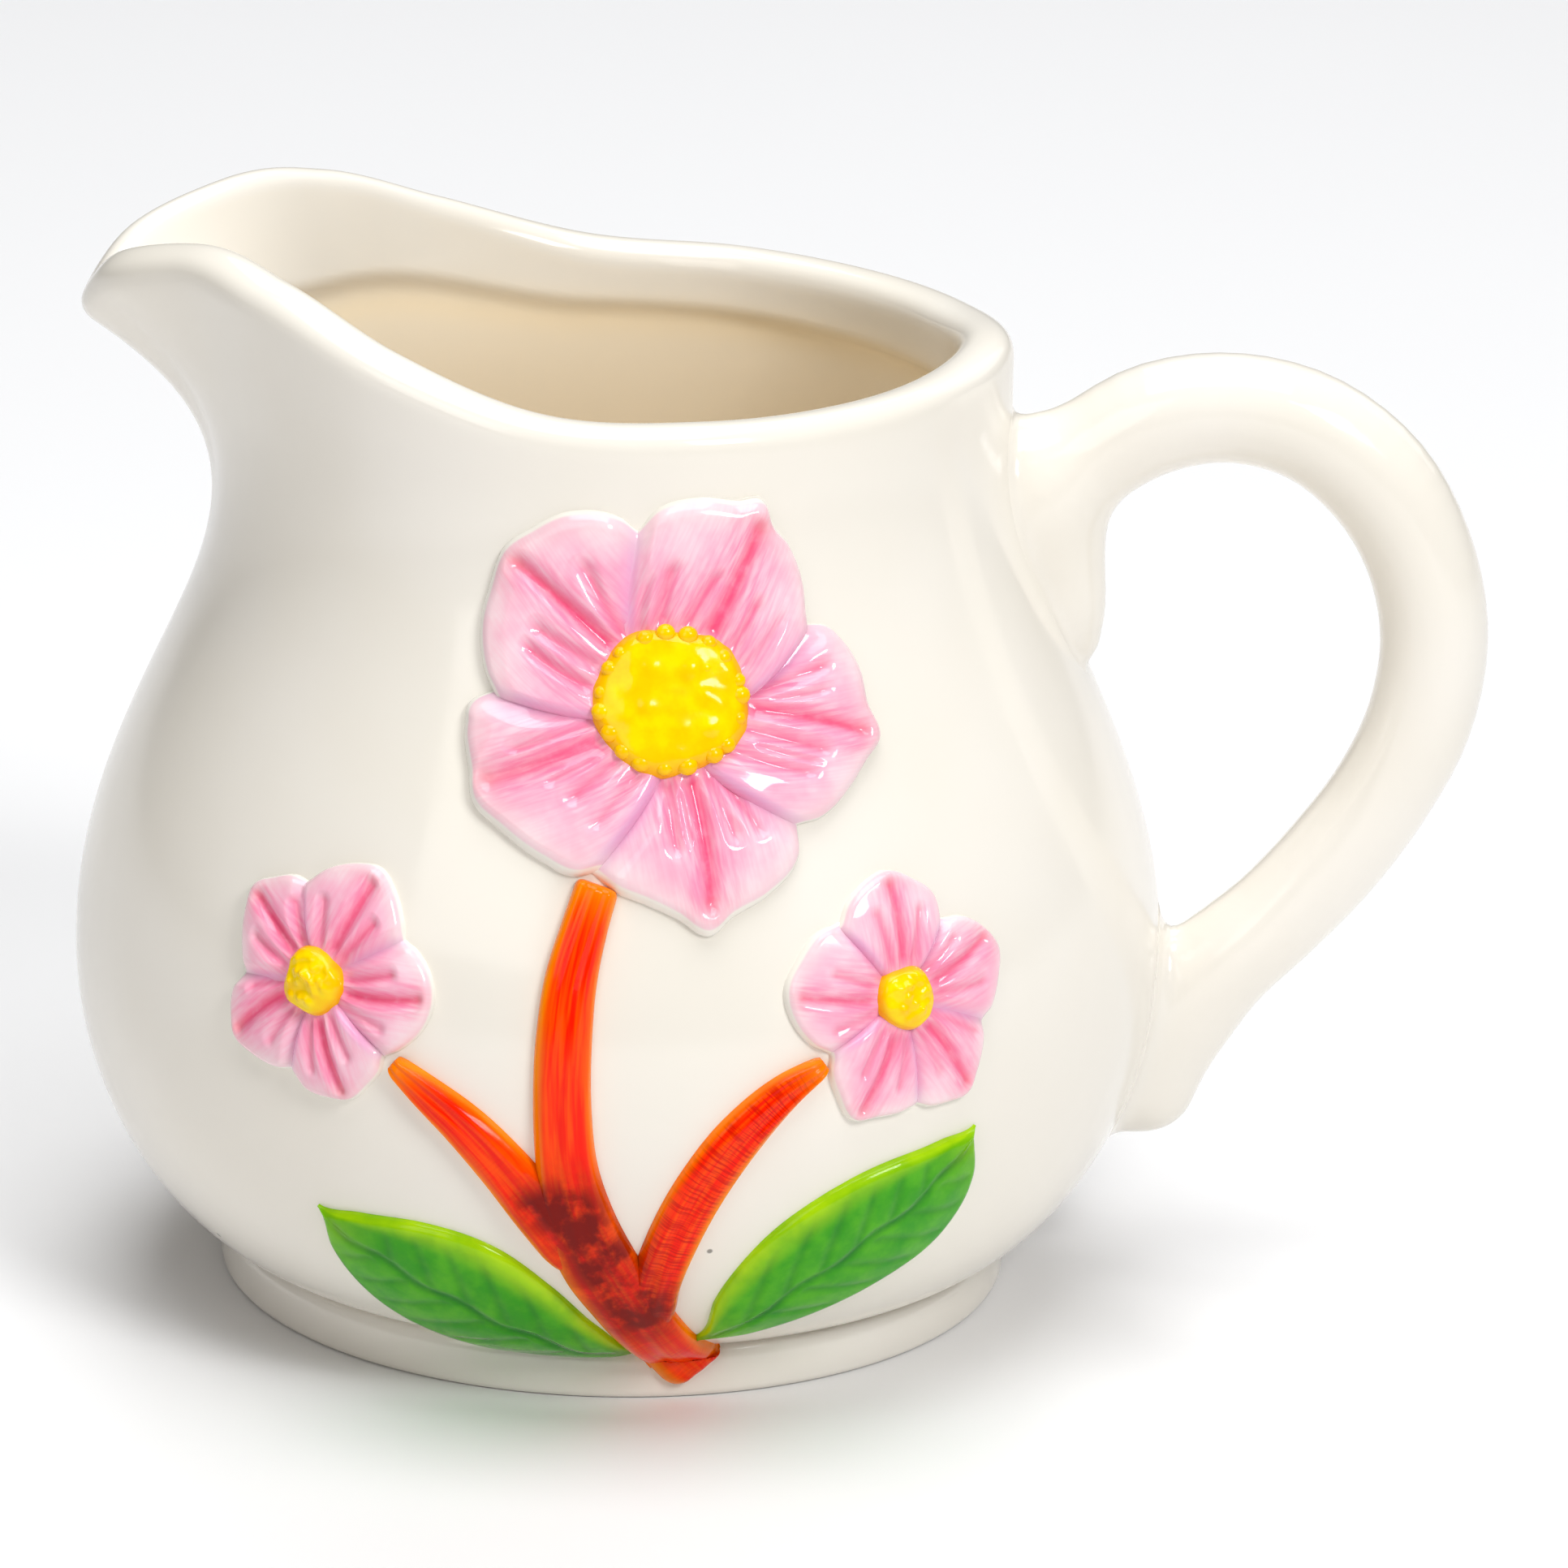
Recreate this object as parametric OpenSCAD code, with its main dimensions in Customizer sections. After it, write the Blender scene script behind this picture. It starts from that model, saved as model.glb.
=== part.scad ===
// Porcelain cream jug with a drawn spout, a loop handle and flowers in low relief.
// The foot stands on z = 0. The handle points to +X, the spout to -X and the flowers face -Y.

/* [Pot] */
// Radius of the widest part of the belly
belly_r = 46.3; // [45:0.1:47.5]
// Height of the widest part of the belly
belly_z = 29; // [27:0.5:31]
// Radius of the neck at its narrowest
neck_r = 32.2; // [31.5:0.1:33]
// Height at which the neck becomes straight
neck_z = 78; // [77:0.5:79]
// Height of the rim beside the handle
rim_z = 83.2; // [82.5:0.1:84.5]
// Thickness of the wall
wall = 4.8; // [4:0.1:5.2]

/* [Foot] */
// Outer radius of the foot ring
foot_r = 33.5; // [33:0.1:34]
// Height of the foot ring
foot_h = 4.4; // [4:0.1:4.8]
// Inner radius of the foot ring
foot_hole_r = 27; // [25:0.5:29]

/* [Spout] */
// Height at which the spout leaves the neck
spout_z = 60; // [58:0.5:62]
// Half of the angle that the spout takes up round the neck
spout_half_angle = 70; // [66:1:72]
// Reach of the spout's tip beyond the rim
spout_reach = 16.2; // [12:0.1:18]
// Height of the spout's shoulders above the rim
spout_rise = 8.4; // [6:0.1:9]
// Depth of the dip between the shoulders
spout_dip = 7; // [4:0.1:7.5]

/* [Handle] */
// Diameter of the handle where it is free of the pot
handle_d = 9.2; // [8:0.1:10]

/* [Relief] */
// Height of the large petals above the pot
petal_t = 1.6; // [1.2:0.1:2]
// Height of the small petals above the pot
small_petal_t = 1.4; // [1:0.1:1.8]
// Height of the stems above the pot
stem_t = 1.5; // [1:0.1:1.8]
// Height of the leaves above the pot
leaf_t = 1.2; // [0.8:0.1:1.6]
// Radius of the large flower's centre
centre_r = 6; // [5.5:0.1:6.5]
// Number of beads round the large flower's centre
bead_count = 18; // [12:1:20]

/* [Hidden] */

$fn = 96;
porcelain = "ivory";
pink = "lightpink";
yolk = "gold";
coral = "tomato";
leaf_green = "olivedrab";

waist_r = foot_r - 0.7;     // radius of the crease between belly and foot ring
lip_r = wall / 2;           // the rim is a half circle in section
rim_start_z = rim_z - lip_r;
floor_z = foot_h + 5.2;     // inside of the floor
far = 80;                   // longer than the pot's radius, for cutting shapes

// ---- the pot's outline, turned round the Z axis ----

// Radius of the outside at height z: a full curve below the belly, a soft S above it.
function lower_r(z) =
    let (s = (z - foot_h) / (belly_z - foot_h))
    waist_r + (belly_r - waist_r) * pow(1 - pow(1 - s, 2), 0.68);
function upper_r(z) =
    let (t = pow(min(1, (z - belly_z) / (neck_z - belly_z)), 1.1))
    neck_r + (belly_r - neck_r) * (1 + cos(180 * t)) / 2;
function pot_r(z) = z < belly_z ? lower_r(z) : upper_r(z);

// Slope of the outside, measured over a short step.
function slope(z) =
    let (low = max(z, foot_h + 0.2) - 0.2, high = max(z, foot_h + 0.2) + 0.2)
    (pot_r(high) - pot_r(low)) / 0.4;

// The point that stands t off the outside at height z.
function off_pot(z, t) =
    let (m = slope(z), n = sqrt(1 + m * m))
    [pot_r(z) + t / n, z - t * m / n];

// The same wall thickness all the way up, measured square to the wall.
function bore_r(z) = pot_r(z) - wall * sqrt(1 + pow(slope(z), 2));

low_levels = [for (i = [0 : 10]) foot_h + (belly_z - foot_h) * pow(i / 10, 1.6)];
belly_levels = [for (i = [1 : 8]) belly_z + (spout_z - belly_z) * i / 8];
neck_levels = [for (i = [1 : 6]) spout_z + (rim_start_z - spout_z) * i / 6];
levels = concat(low_levels, belly_levels, neck_levels);
bore_levels = [for (z = levels) if (z > floor_z + 0.5) z];

function backwards(list) = [for (i = [len(list) - 1 : -1 : 0]) list[i]];

outside = [for (z = levels) [pot_r(z), z]];
inside = backwards([for (z = bore_levels) [bore_r(z), z]]);
lip = [for (a = [22.5 : 22.5 : 157.5])
    [neck_r - lip_r + lip_r * cos(a), rim_start_z + lip_r * sin(a)]];

module spout_sector() {
    // The space round the neck that the spout fills instead of the body.
    reach = far / cos(spout_half_angle);
    translate([0, 0, spout_z])
        linear_extrude(far)
            polygon([
                [0, 0],
                [-far, -far * tan(spout_half_angle)],
                [-far - reach, 0],
                [-far, far * tan(spout_half_angle)]
            ]);
}

module body() {
    color(porcelain)
        difference() {
            rotate_extrude()
                polygon(concat([[0, foot_h]], outside, lip, inside,
                    [[bore_r(floor_z + 0.5) - 1.2, floor_z], [0, floor_z]]));
            spout_sector();
        }
}

module foot_ring() {
    color(porcelain)
        difference() {
            cylinder(h = foot_h, r = foot_r);
            translate([0, 0, -1])
                cylinder(h = foot_h + 2, r = foot_hole_r);
        }
}

// ---- the spout: one closed section at each angle, joined into a solid ----

function smooth(t) = let (c = min(1, max(0, t))) c * c * (3 - 2 * c);

// How far the spout's rim rises and reaches at angle d from its middle.
function rim_lift(d) =
    spout_rise * smooth((spout_half_angle - abs(d)) / 40) - spout_dip * exp(-pow(d / 10, 2));
function rim_push(d) =
    spout_reach * (0.35 * smooth((spout_half_angle - abs(d)) / 60) + 0.65 * exp(-pow(d / 16, 2)));
// The far ends join the body exactly, so both functions fade out there.
function fade(d) = smooth((spout_half_angle - abs(d)) / 10);

function spout_point(d, radius, z) =
    let (
        lift = fade(d) * rim_lift(d),
        push = fade(d) * rim_push(d),
        rise = (z - spout_z) / (rim_z - spout_z),
        out = radius + push * pow(rise, 2.6)
    )
    [-out * cos(d), -out * sin(d), z + lift * rise];

spout_section = concat(
    [[pot_r(spout_z), spout_z]],
    [for (z = neck_levels) [pot_r(z), z]],
    lip,
    backwards([for (z = neck_levels) [bore_r(z), z]]),
    [[bore_r(spout_z), spout_z]]
);
spout_steps = 40;
spout_angles = [for (i = [0 : spout_steps]) spout_half_angle * (2 * i / spout_steps - 1)];

module spout() {
    n = len(spout_section);
    last = spout_steps * n;
    points = [for (d = spout_angles) for (p = spout_section) spout_point(d, p[0], p[1])];
    sides = [for (i = [0 : spout_steps - 1]) for (j = [0 : n - 1])
        let (k = (j + 1) % n)
        [i * n + j, i * n + k, i * n + n + k, i * n + n + j]];
    first_cap = [for (j = [n - 1 : -1 : 0]) j];
    last_cap = [for (j = [0 : n - 1]) last + j];
    color(porcelain)
        polyhedron(points = points, faces = concat(sides, [first_cap, last_cap]), convexity = 6);
}

// ---- the handle: a round rod along a curve, cut to the pot's outside ----

// Points of the middle line in the XZ plane, and the rod's radius as a share of handle_d / 2.
handle_line = [
    [30, 68, 1.35], [34, 71.5, 1.25], [39, 74.2, 1.1], [44, 76.6, 1],
    [50, 77.6, 1], [57, 76.2, 1], [63.2, 72, 1], [67, 66, 1],
    [68.3, 58.5, 1], [67.2, 51, 1], [64.4, 44.5, 1], [60.4, 39, 1],
    [55.8, 33.5, 1], [51.4, 28, 1.05], [48.2, 22.5, 1.1], [45.8, 18.4, 1.05],
    [44, 16.2, 0.7], [43, 15, 0.2]
];
tail_line = [
    [35.5, 72, 0.9], [36.8, 68, 0.95], [37.4, 64, 0.85], [38, 60, 0.7],
    [38.8, 56.5, 0.4], [39, 55, 0.1]
];

// A smooth curve through the points: value at part t of the step that starts at i.
function curve_at(line, i, t) =
    let (
        a = line[max(0, i - 1)],
        b = line[i],
        c = line[i + 1],
        d = line[min(len(line) - 1, i + 2)]
    )
    (2 * b + (c - a) * t + (2 * a - 5 * b + 4 * c - d) * t * t
        + (3 * b - a - 3 * c + d) * t * t * t) / 2;

module rod(line, sides, cuts) {
    stations = concat(
        [for (i = [0 : len(line) - 2]) for (j = [0 : cuts - 1]) curve_at(line, i, j / cuts)],
        [line[len(line) - 1]]
    );
    count = len(stations);
    points = [for (i = [0 : count - 1])
        let (
            here = stations[i],
            way = stations[min(count - 1, i + 1)] - stations[max(0, i - 1)],
            size = sqrt(way[0] * way[0] + way[1] * way[1]),
            side = [way[1] / size, -way[0] / size],
            r = here[2] * handle_d / 2
        )
        for (j = [0 : sides - 1])
            let (a = 360 * j / sides)
            [here[0] + side[0] * r * cos(a), r * sin(a), here[1] + side[1] * r * cos(a)]];
    walls = [for (i = [0 : count - 2]) for (j = [0 : sides - 1])
        let (k = (j + 1) % sides)
        [i * sides + j, i * sides + sides + j, i * sides + sides + k, i * sides + k]];
    ends = [
        [for (j = [0 : sides - 1]) j],
        [for (j = [sides - 1 : -1 : 0]) (count - 1) * sides + j]
    ];
    polyhedron(points = points, faces = concat(walls, ends), convexity = 6);
}

module handle() {
    color(porcelain)
        difference() {
            union() {
                rod(handle_line, 14, 2);
                rod(tail_line, 10, 1);
            }
            rotate_extrude()
                polygon(concat([[0, foot_h]], outside, [[neck_r, rim_z], [0, rim_z]]));
        }
}

// ---- relief: outlines drawn on a flat sheet and pressed onto the pot ----

// The layer between two heights above the pot.
module layer(from, to) {
    rotate_extrude()
        polygon(concat(
            [for (z = levels) off_pot(z, from)],
            backwards([for (z = levels) off_pot(z, to)])
        ));
}

// Children are flat shapes in (across, height), pressed onto the pot at angle turn.
module press(turn, from, to) {
    intersection() {
        layer(from, to);
        rotate([0, 0, turn])
            rotate([90, 0, 0])
                linear_extrude(far)
                    children();
    }
}

// Petals: direction of the tip, directions of its two sides, and length.
large_petals = [[138, 101, 180, 16.8], [62, 23, 101, 16.8], [-17, -46, 23, 17.8],
    [-84, -116, -46, 16.5], [-148, -180, -116, 16.8]];
left_petals = [[141, 110, 186, 9.4], [69, 31, 110, 10.6], [3, -37, 31, 10.2],
    [-66, -100, -37, 9.6], [-140, -174, -100, 9.4]];
right_petals = [[90, 53, 127, 9.8], [13, -21, 53, 10.2], [-57, -85, -21, 10.4],
    [-118, -150, -85, 10.2], [170, 127, 210, 10]];

large_at = [9, 61.3];
left_at = [-29, 37.9];
right_at = [33.5, 37.8];
small_centre_r = 2.7;

// One petal: it starts round the centre, swells to rounded shoulders and comes to a blunt tip.
module petal_outline(petal, hub_r) {
    from = petal[1];
    to = petal[2];
    steps = 12;
    rim = [for (i = [0 : steps])
        let (
            a = from + (to - from) * i / steps,
            swell = pow(sin(180 * i / steps), 0.6),
            r = petal[3] * (0.8 + 0.2 * swell)
        )
        [r * cos(a), r * sin(a)]];
    hub = [for (i = [4 : -1 : 0])
        let (a = from + (to - from) * i / 4)
        [hub_r * cos(a), hub_r * sin(a)]];
    polygon(concat(rim, hub));
}

module petal(at, list, which, hub_r, t) {
    color(pink)
        press(at[0], 0, t)
            translate([0, at[1]])
                petal_outline(list[which - 1], hub_r);
}

module large_petal(which) {
    petal(large_at, large_petals, which, centre_r + 0.1, petal_t);
}

module left_petal(which) {
    petal(left_at, left_petals, which, small_centre_r + 0.1, small_petal_t);
}

module right_petal(which) {
    petal(right_at, right_petals, which, small_centre_r + 0.1, small_petal_t);
}

module flower_centre(at, r, t) {
    color(yolk)
        press(at[0], 0, t)
            translate([0, at[1]])
                circle(r, $fn = 48);
}

module large_centre() {
    flower_centre(large_at, centre_r, petal_t + 0.4);
}

module left_centre() {
    flower_centre(left_at, small_centre_r, small_petal_t + 0.4);
}

module right_centre() {
    flower_centre(right_at, small_centre_r, small_petal_t + 0.4);
}

bead_r = 0.7;
inner_bead_ring = 2.6;
inner_bead_count = 6;

module large_beads() {
    ring = centre_r - bead_r - 0.2;
    color("orange")
        press(large_at[0], petal_t + 0.4, petal_t + 1.1)
            translate([0, large_at[1]]) {
                for (i = [0 : bead_count - 1])
                    rotate(360 * i / bead_count)
                        translate([ring, 0])
                            circle(bead_r, $fn = 24);
                for (i = [0 : inner_bead_count - 1])
                    rotate(360 * i / inner_bead_count)
                        translate([inner_bead_ring, 0])
                            circle(bead_r, $fn = 24);
            }
}

// Stems in the front view: middle line and half width at each point.
trunk_line = [[8.6, 5.2, 2.4], [5.8, 8.5, 2.6], [4, 11.5, 3], [3, 14.5, 4], [2.4, 17.5, 5.2]];
middle_line = [[0.6, 48.2, 1.6], [-0.8, 44.5, 1.9], [-1.6, 40.5, 2.2], [-1.9, 36.5, 2.4],
    [-1.8, 30, 2.6], [-1, 24, 2.8], [0.4, 17.5, 3]];
left_line = [[-15.4, 32.3, 1], [-12.4, 30, 1.6], [-9.8, 27.6, 2], [-5.8, 23.8, 2.3], [-1, 17.5, 2.2]];
right_line = [[18.8, 32.4, 1], [14.4, 29.7, 1.8], [10.6, 25.2, 2.2], [7.6, 20, 2.2], [6, 17.5, 1.9]];

module strip(line) {
    n = len(line);
    edge = [for (i = [0 : n - 1])
        let (
            way = line[min(n - 1, i + 1)] - line[max(0, i - 1)],
            size = sqrt(way[0] * way[0] + way[1] * way[1]),
            side = [-way[1] / size, way[0] / size] * line[i][2]
        )
        [[line[i][0] + side[0], line[i][1] + side[1]], [line[i][0] - side[0], line[i][1] - side[1]]]];
    polygon(concat([for (e = edge) e[0]], backwards([for (e = edge) e[1]])));
}

module below_fork() {
    translate([-far, -far])
        square([2 * far, far + 17.5]);
}

module trunk_outline() {
    intersection() {
        strip(trunk_line);
        translate([-far, foot_h + 0.6])
            square([2 * far, 17.5 - foot_h - 0.6]);
    }
}

module middle_outline() {
    difference() {
        strip(middle_line);
        below_fork();
    }
}

module all_stems() {
    trunk_outline();
    middle_outline();
    strip(left_line);
    strip(right_line);
}

module trunk() {
    color(coral)
        press(0, 0, stem_t)
            trunk_outline();
}

module middle_stem() {
    color(coral)
        press(0, 0, stem_t)
            difference() {
                middle_outline();
                translate(large_on_front)
                    circle(large_petals[3][3], $fn = 48);
            }
}

// Centre of the large flower as the front view shows it.
large_on_front = [pot_r(large_at[1]) * sin(large_at[0]), large_at[1]];

module side_stem(line, turn) {
    color(coral)
        press(turn, 0, stem_t)
            difference() {
                strip(line);
                middle_outline();
                below_fork();
            }
}

module left_stem() {
    side_stem(left_line, 0);
}

module right_stem() {
    side_stem(right_line, 0);
}

left_leaf_edge = [[-21.8, 18.4], [-17.5, 19.4], [-12.8, 19], [-8, 17.6], [-3.5, 15.2], [0, 12],
    [2.5, 8.5], [4, 5.2], [-8, 5.2], [-11, 5.7], [-13.5, 6.9], [-17, 9.8], [-19.8, 13.8]];
right_leaf_edge = [[11.2, 25.6], [7, 25], [1.4, 23.8], [-4.3, 22], [-7.9, 18], [-9.4, 12.4],
    [-8.8, 6.9], [-6, 6.2], [-2, 7.4], [4, 10.4], [8.5, 14.8], [11.4, 20]];
right_leaf_turn = 28;

module left_leaf() {
    color(leaf_green)
        press(0, 0, leaf_t)
            difference() {
                polygon(left_leaf_edge);
                all_stems();
            }
}

module right_leaf() {
    color(leaf_green)
        difference() {
            press(right_leaf_turn, 0, leaf_t)
                polygon(right_leaf_edge);
            rotate([90, 0, 0])
                linear_extrude(far)
                    all_stems();
        }
}

body();
spout();
foot_ring();
handle();
large_petal(1);  // large_petal_1
large_petal(2);  // large_petal_2
large_petal(3);  // large_petal_3
large_petal(4);  // large_petal_4
large_petal(5);  // large_petal_5
large_centre();
large_beads();
left_petal(1);  // left_petal_1
left_petal(2);  // left_petal_2
left_petal(3);  // left_petal_3
left_petal(4);  // left_petal_4
left_petal(5);  // left_petal_5
left_centre();
right_petal(1);  // right_petal_1
right_petal(2);  // right_petal_2
right_petal(3);  // right_petal_3
right_petal(4);  // right_petal_4
right_petal(5);  // right_petal_5
right_centre();
trunk();
middle_stem();
left_stem();
right_stem();
left_leaf();
right_leaf();
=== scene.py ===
"""Porcelain cream jug with a pulled spout, a loop handle and a raised, painted spray of flowers.

Lengths inside the shape functions are millimetres; build_mesh() turns them into metres.
The jug stands on z = 0, its handle points to +X, its spout to -X and its flowers face -Y.
"""
import math
from collections import namedtuple

import bpy
import numpy as np
from mathutils import Matrix, Vector


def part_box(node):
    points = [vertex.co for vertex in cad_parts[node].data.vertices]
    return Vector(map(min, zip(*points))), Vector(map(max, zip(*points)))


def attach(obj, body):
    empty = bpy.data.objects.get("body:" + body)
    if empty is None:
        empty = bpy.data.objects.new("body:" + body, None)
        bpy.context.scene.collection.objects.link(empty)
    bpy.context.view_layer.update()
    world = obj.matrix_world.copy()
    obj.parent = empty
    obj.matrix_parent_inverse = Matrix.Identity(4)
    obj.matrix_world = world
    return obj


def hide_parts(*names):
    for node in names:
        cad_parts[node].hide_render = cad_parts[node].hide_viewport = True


bl_info = {
    "name": "Porcelain Cream Jug",
    "version": (1, 0, 0),
    "blender": (4, 5, 0),
    "location": "View3D > Sidebar > Cream Jug",
    "description": "Builds a glazed cream jug with raised, painted flowers, piece by piece",
    "category": "Add Mesh",
}

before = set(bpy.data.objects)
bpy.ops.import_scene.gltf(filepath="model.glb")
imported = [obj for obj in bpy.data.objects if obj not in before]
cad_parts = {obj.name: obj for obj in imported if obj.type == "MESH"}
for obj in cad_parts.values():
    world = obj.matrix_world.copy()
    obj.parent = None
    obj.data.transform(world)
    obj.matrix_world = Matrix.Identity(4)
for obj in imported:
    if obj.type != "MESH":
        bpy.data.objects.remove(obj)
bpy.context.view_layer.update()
MM = 0.001
BODY = "root"


def cad_reach(node, axis):
    """How far a CAD node reaches along an axis, in millimetres."""
    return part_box(node)[1][axis] / MM


FOOT_GLAZE = 0.3                                # thickness of the glaze on the foot ring
FOOT_R = cad_reach("foot_ring", 0) + FOOT_GLAZE
FOOT_H = cad_reach("foot_ring", 2)
BELLY_R = cad_reach("body", 0)


# ---------------- settings

def length(name, description, default, low=0.0, high=0.2):
    return bpy.props.FloatProperty(
        name=name, description=description, default=default * MM, min=low, max=high,
        unit="LENGTH", precision=5)


def colour(name, description, default):
    return bpy.props.FloatVectorProperty(
        name=name, description=description, default=default, min=0.0, max=1.0,
        subtype="COLOR", size=3)


class PotSettings(bpy.types.PropertyGroup):
    belly_r: length("Belly radius", "Radius of the widest part of the pot", BELLY_R)
    belly_z: length("Belly height", "Height of the widest part of the pot", 29)
    neck_r: length("Neck radius", "Outer radius of the straight neck", 32.2)
    neck_z: length("Neck height", "Height at which the neck becomes straight", 78)
    foot_r: length("Foot radius", "Outer radius of the foot ring", FOOT_R)
    foot_h: length("Foot height", "Height of the foot ring", FOOT_H)
    foot_hole_r: length("Foot recess radius", "Radius of the recess under the foot", 27)
    wall: length("Wall", "Thickness of the porcelain wall", 4.7)
    spout_z: length("Spout start", "Height at which the spout leaves the neck", 52)


class HandleSettings(bpy.types.PropertyGroup):
    rod_d: length("Rod diameter", "Diameter of the handle where it stands free", 9.3)
    blend: length("Root blend", "Size of the soft fillet where the handle meets the pot", 2.6)


class ReliefSettings(bpy.types.PropertyGroup):
    petal_h: length("Large petal height", "How far the large petals stand out of the pot", 1.75)
    small_petal_h: length("Small petal height", "How far the small petals stand out", 1.35)
    stem_h: length("Stem height", "How far the stems stand out of the pot", 1.35)
    leaf_h: length("Leaf height", "How far the leaves stand out of the pot", 1.2)


class GlazeSettings(bpy.types.PropertyGroup):
    porcelain: colour("Porcelain", "Body glaze", (0.87, 0.83, 0.76))
    pale_pink: colour("Pale pink", "Petals where the paint is thin", (0.92, 0.46, 0.60))
    pink: colour("Pink", "Brushed wash in the petals", (0.93, 0.27, 0.44))
    rose: colour("Rose", "Brush lines in the petals", (0.90, 0.06, 0.18))
    # Lilac is partly a purple outline painted round the petals, partly painted shade in the valleys between
    # them
    lilac: colour("Lilac", "Valleys between the petals", (0.74, 0.33, 0.58))
    yolk: colour("Yolk", "Flower centres", (0.98, 0.58, 0.0))
    # Amber: partly orange paint at the edge of the centres, partly painted shade where they curve down and
    # among the ring beads
    amber: colour("Amber", "Rim of the flower centres", (0.97, 0.36, 0.0))
    coral: colour("Coral", "Stems", (0.95, 0.010, 0.0005))
    maroon: colour("Maroon", "Dark strokes where the stems fork", (0.20, 0.004, 0.001))
    leaf: colour("Leaf", "Leaf green", (0.030, 0.315, 0.003))
    lime: colour("Lime", "Light edge of the leaves", (0.42, 0.70, 0.004))
    vein: colour("Vein", "Veins of the leaves", (0.012, 0.185, 0.012))


SETTINGS = {
    "jug_pot": PotSettings,
    "jug_handle": HandleSettings,
    "jug_relief": ReliefSettings,
    "jug_glaze": GlazeSettings,
}


def mm(group, name):
    """A setting of the open scene, in millimetres."""
    return getattr(getattr(bpy.context.scene, group), name) / MM


def pot(name):
    return mm("jug_pot", name)


def glaze(name):
    """A colour of the open scene, with full opacity."""
    return tuple(getattr(bpy.context.scene.jug_glaze, name)) + (1.0,)


# ---------------- curves

def smooth(t):
    t = np.clip(t, 0.0, 1.0)
    return t * t * (3 - 2 * t)


def bell(distance, width):
    """1 at distance 0, falling softly to nothing over a few widths."""
    return np.exp(-(distance / width) ** 2)


def cubic(xs, ys, slope, x):
    """Reads a cubic through the knots xs, ys at x, from its slope at each knot."""
    i = np.clip(np.searchsorted(xs, x, side="right") - 1, 0, len(xs) - 2)
    step = xs[i + 1] - xs[i]
    t = (x - xs[i]) / step
    if ys.ndim > 1:
        step, t = step[:, None], t[:, None]
    return ((1 + 2 * t) * (1 - t) ** 2 * ys[i] + t * (1 - t) ** 2 * step * slope[i]
            + t * t * (3 - 2 * t) * ys[i + 1] - t * t * (1 - t) * step * slope[i + 1])


def through(knots, x):
    """A smooth curve through (x, value) knots, read at x. Flat at both ends."""
    xs, ys = np.array(knots, float).T
    slope = np.gradient(ys, xs)
    slope[0] = slope[-1] = 0.0
    return cubic(xs, ys, slope, np.clip(x, xs[0], xs[-1]))


def lengths(points):
    """How far along a row of points each one lies, from their first two numbers."""
    gap = np.linalg.norm(np.diff(points[:, :2], axis=0), axis=1)
    return np.concatenate([[0], np.cumsum(gap)])


def path(points, samples):
    """A smooth path through rows of numbers, evenly cut into samples rows."""
    p = np.array(points, float)
    at = lengths(p)
    return cubic(at, p, np.gradient(p, at, axis=0), np.linspace(0, at[-1], samples))


# ---------------- the pot's outside

BELLY_FULLNESS = 0.68    # below 1: the lower belly swells early
SHOULDER_EASE = 1.05     # above 1: the shoulder leaves the belly late


def pot_radius(z):
    """Outer radius of the turned pot at height z: a full curve below the belly, a soft S above."""
    belly_r, belly_z = pot("belly_r"), pot("belly_z")
    neck_r, neck_z = pot("neck_r"), pot("neck_z")
    foot_h = pot("foot_h")
    waist_r = pot("foot_r") - 1.0
    s = np.clip((z - foot_h) / (belly_z - foot_h), 0, 1)
    low = waist_r + (belly_r - waist_r) * (1 - (1 - s) ** 2) ** BELLY_FULLNESS
    t = np.clip((z - belly_z) / (neck_z - belly_z), 0, 1) ** SHOULDER_EASE
    high = neck_r + (belly_r - neck_r) * (1 + np.cos(math.pi * t)) / 2
    return np.where(z < belly_z, low, high)


def pot_slope(z):
    z = np.maximum(z, pot("foot_h") + 0.15)
    return (pot_radius(z + 0.1) - pot_radius(z - 0.1)) / 0.2


# Ridge of the rim: angle from the handle in degrees, then radius and height.
RIM_RADIUS = [(0, 29.7), (25, 28.6), (50, 28.6), (75, 29.6), (100, 30.3), (125, 32.4),
              (145, 34.7), (160, 37.7), (172, 43.4), (180, 45.6)]
RIM_HEIGHT = [(0, 83.6), (25, 83.0), (50, 82.7), (75, 82.7), (100, 83.1), (125, 87),
              (145, 90.6), (160, 91.3), (172, 88.4), (180, 85)]


def from_handle(x, y):
    """Angle round the pot from the handle, 0 to 180 degrees on either side."""
    return np.degrees(np.abs(np.arctan2(y, x)))


FLARE, SPOUT_FLARE = 2.5, 1.1   # how late the wall bends out, all round and more so at the spout
RIM_ROUNDS = 12                 # rounds that settle the lean of the wall at its top


def rim_shape(u):
    """For angle u: push of the outer wall at its top, height of that top, and how late the push comes."""
    half = pot("wall") / 2
    start = pot("spout_z")
    radius, height = through(RIM_RADIUS, u), through(RIM_HEIGHT, u)
    power = FLARE + SPOUT_FLARE * bell(u - 180, 20)
    lean = np.zeros_like(u)
    for _ in range(RIM_ROUNDS):
        rise, out = 1 / np.sqrt(1 + lean ** 2), lean / np.sqrt(1 + lean ** 2)
        top = height - half * (out + rise)
        push = radius + half * (rise - out) - pot_radius(top)
        lean = 0.5 * lean + 0.5 * push * power / (top - start)
    return push, top, power


def wall_radius(u, z):
    """Outer radius with the spout drawn out of the neck."""
    push, top, power = rim_shape(u)
    start = pot("spout_z")
    rise = np.clip((z - start) / (top - start), 0, 1.3)
    return pot_radius(z) + push * rise ** power


# ---------------- meshes

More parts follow.
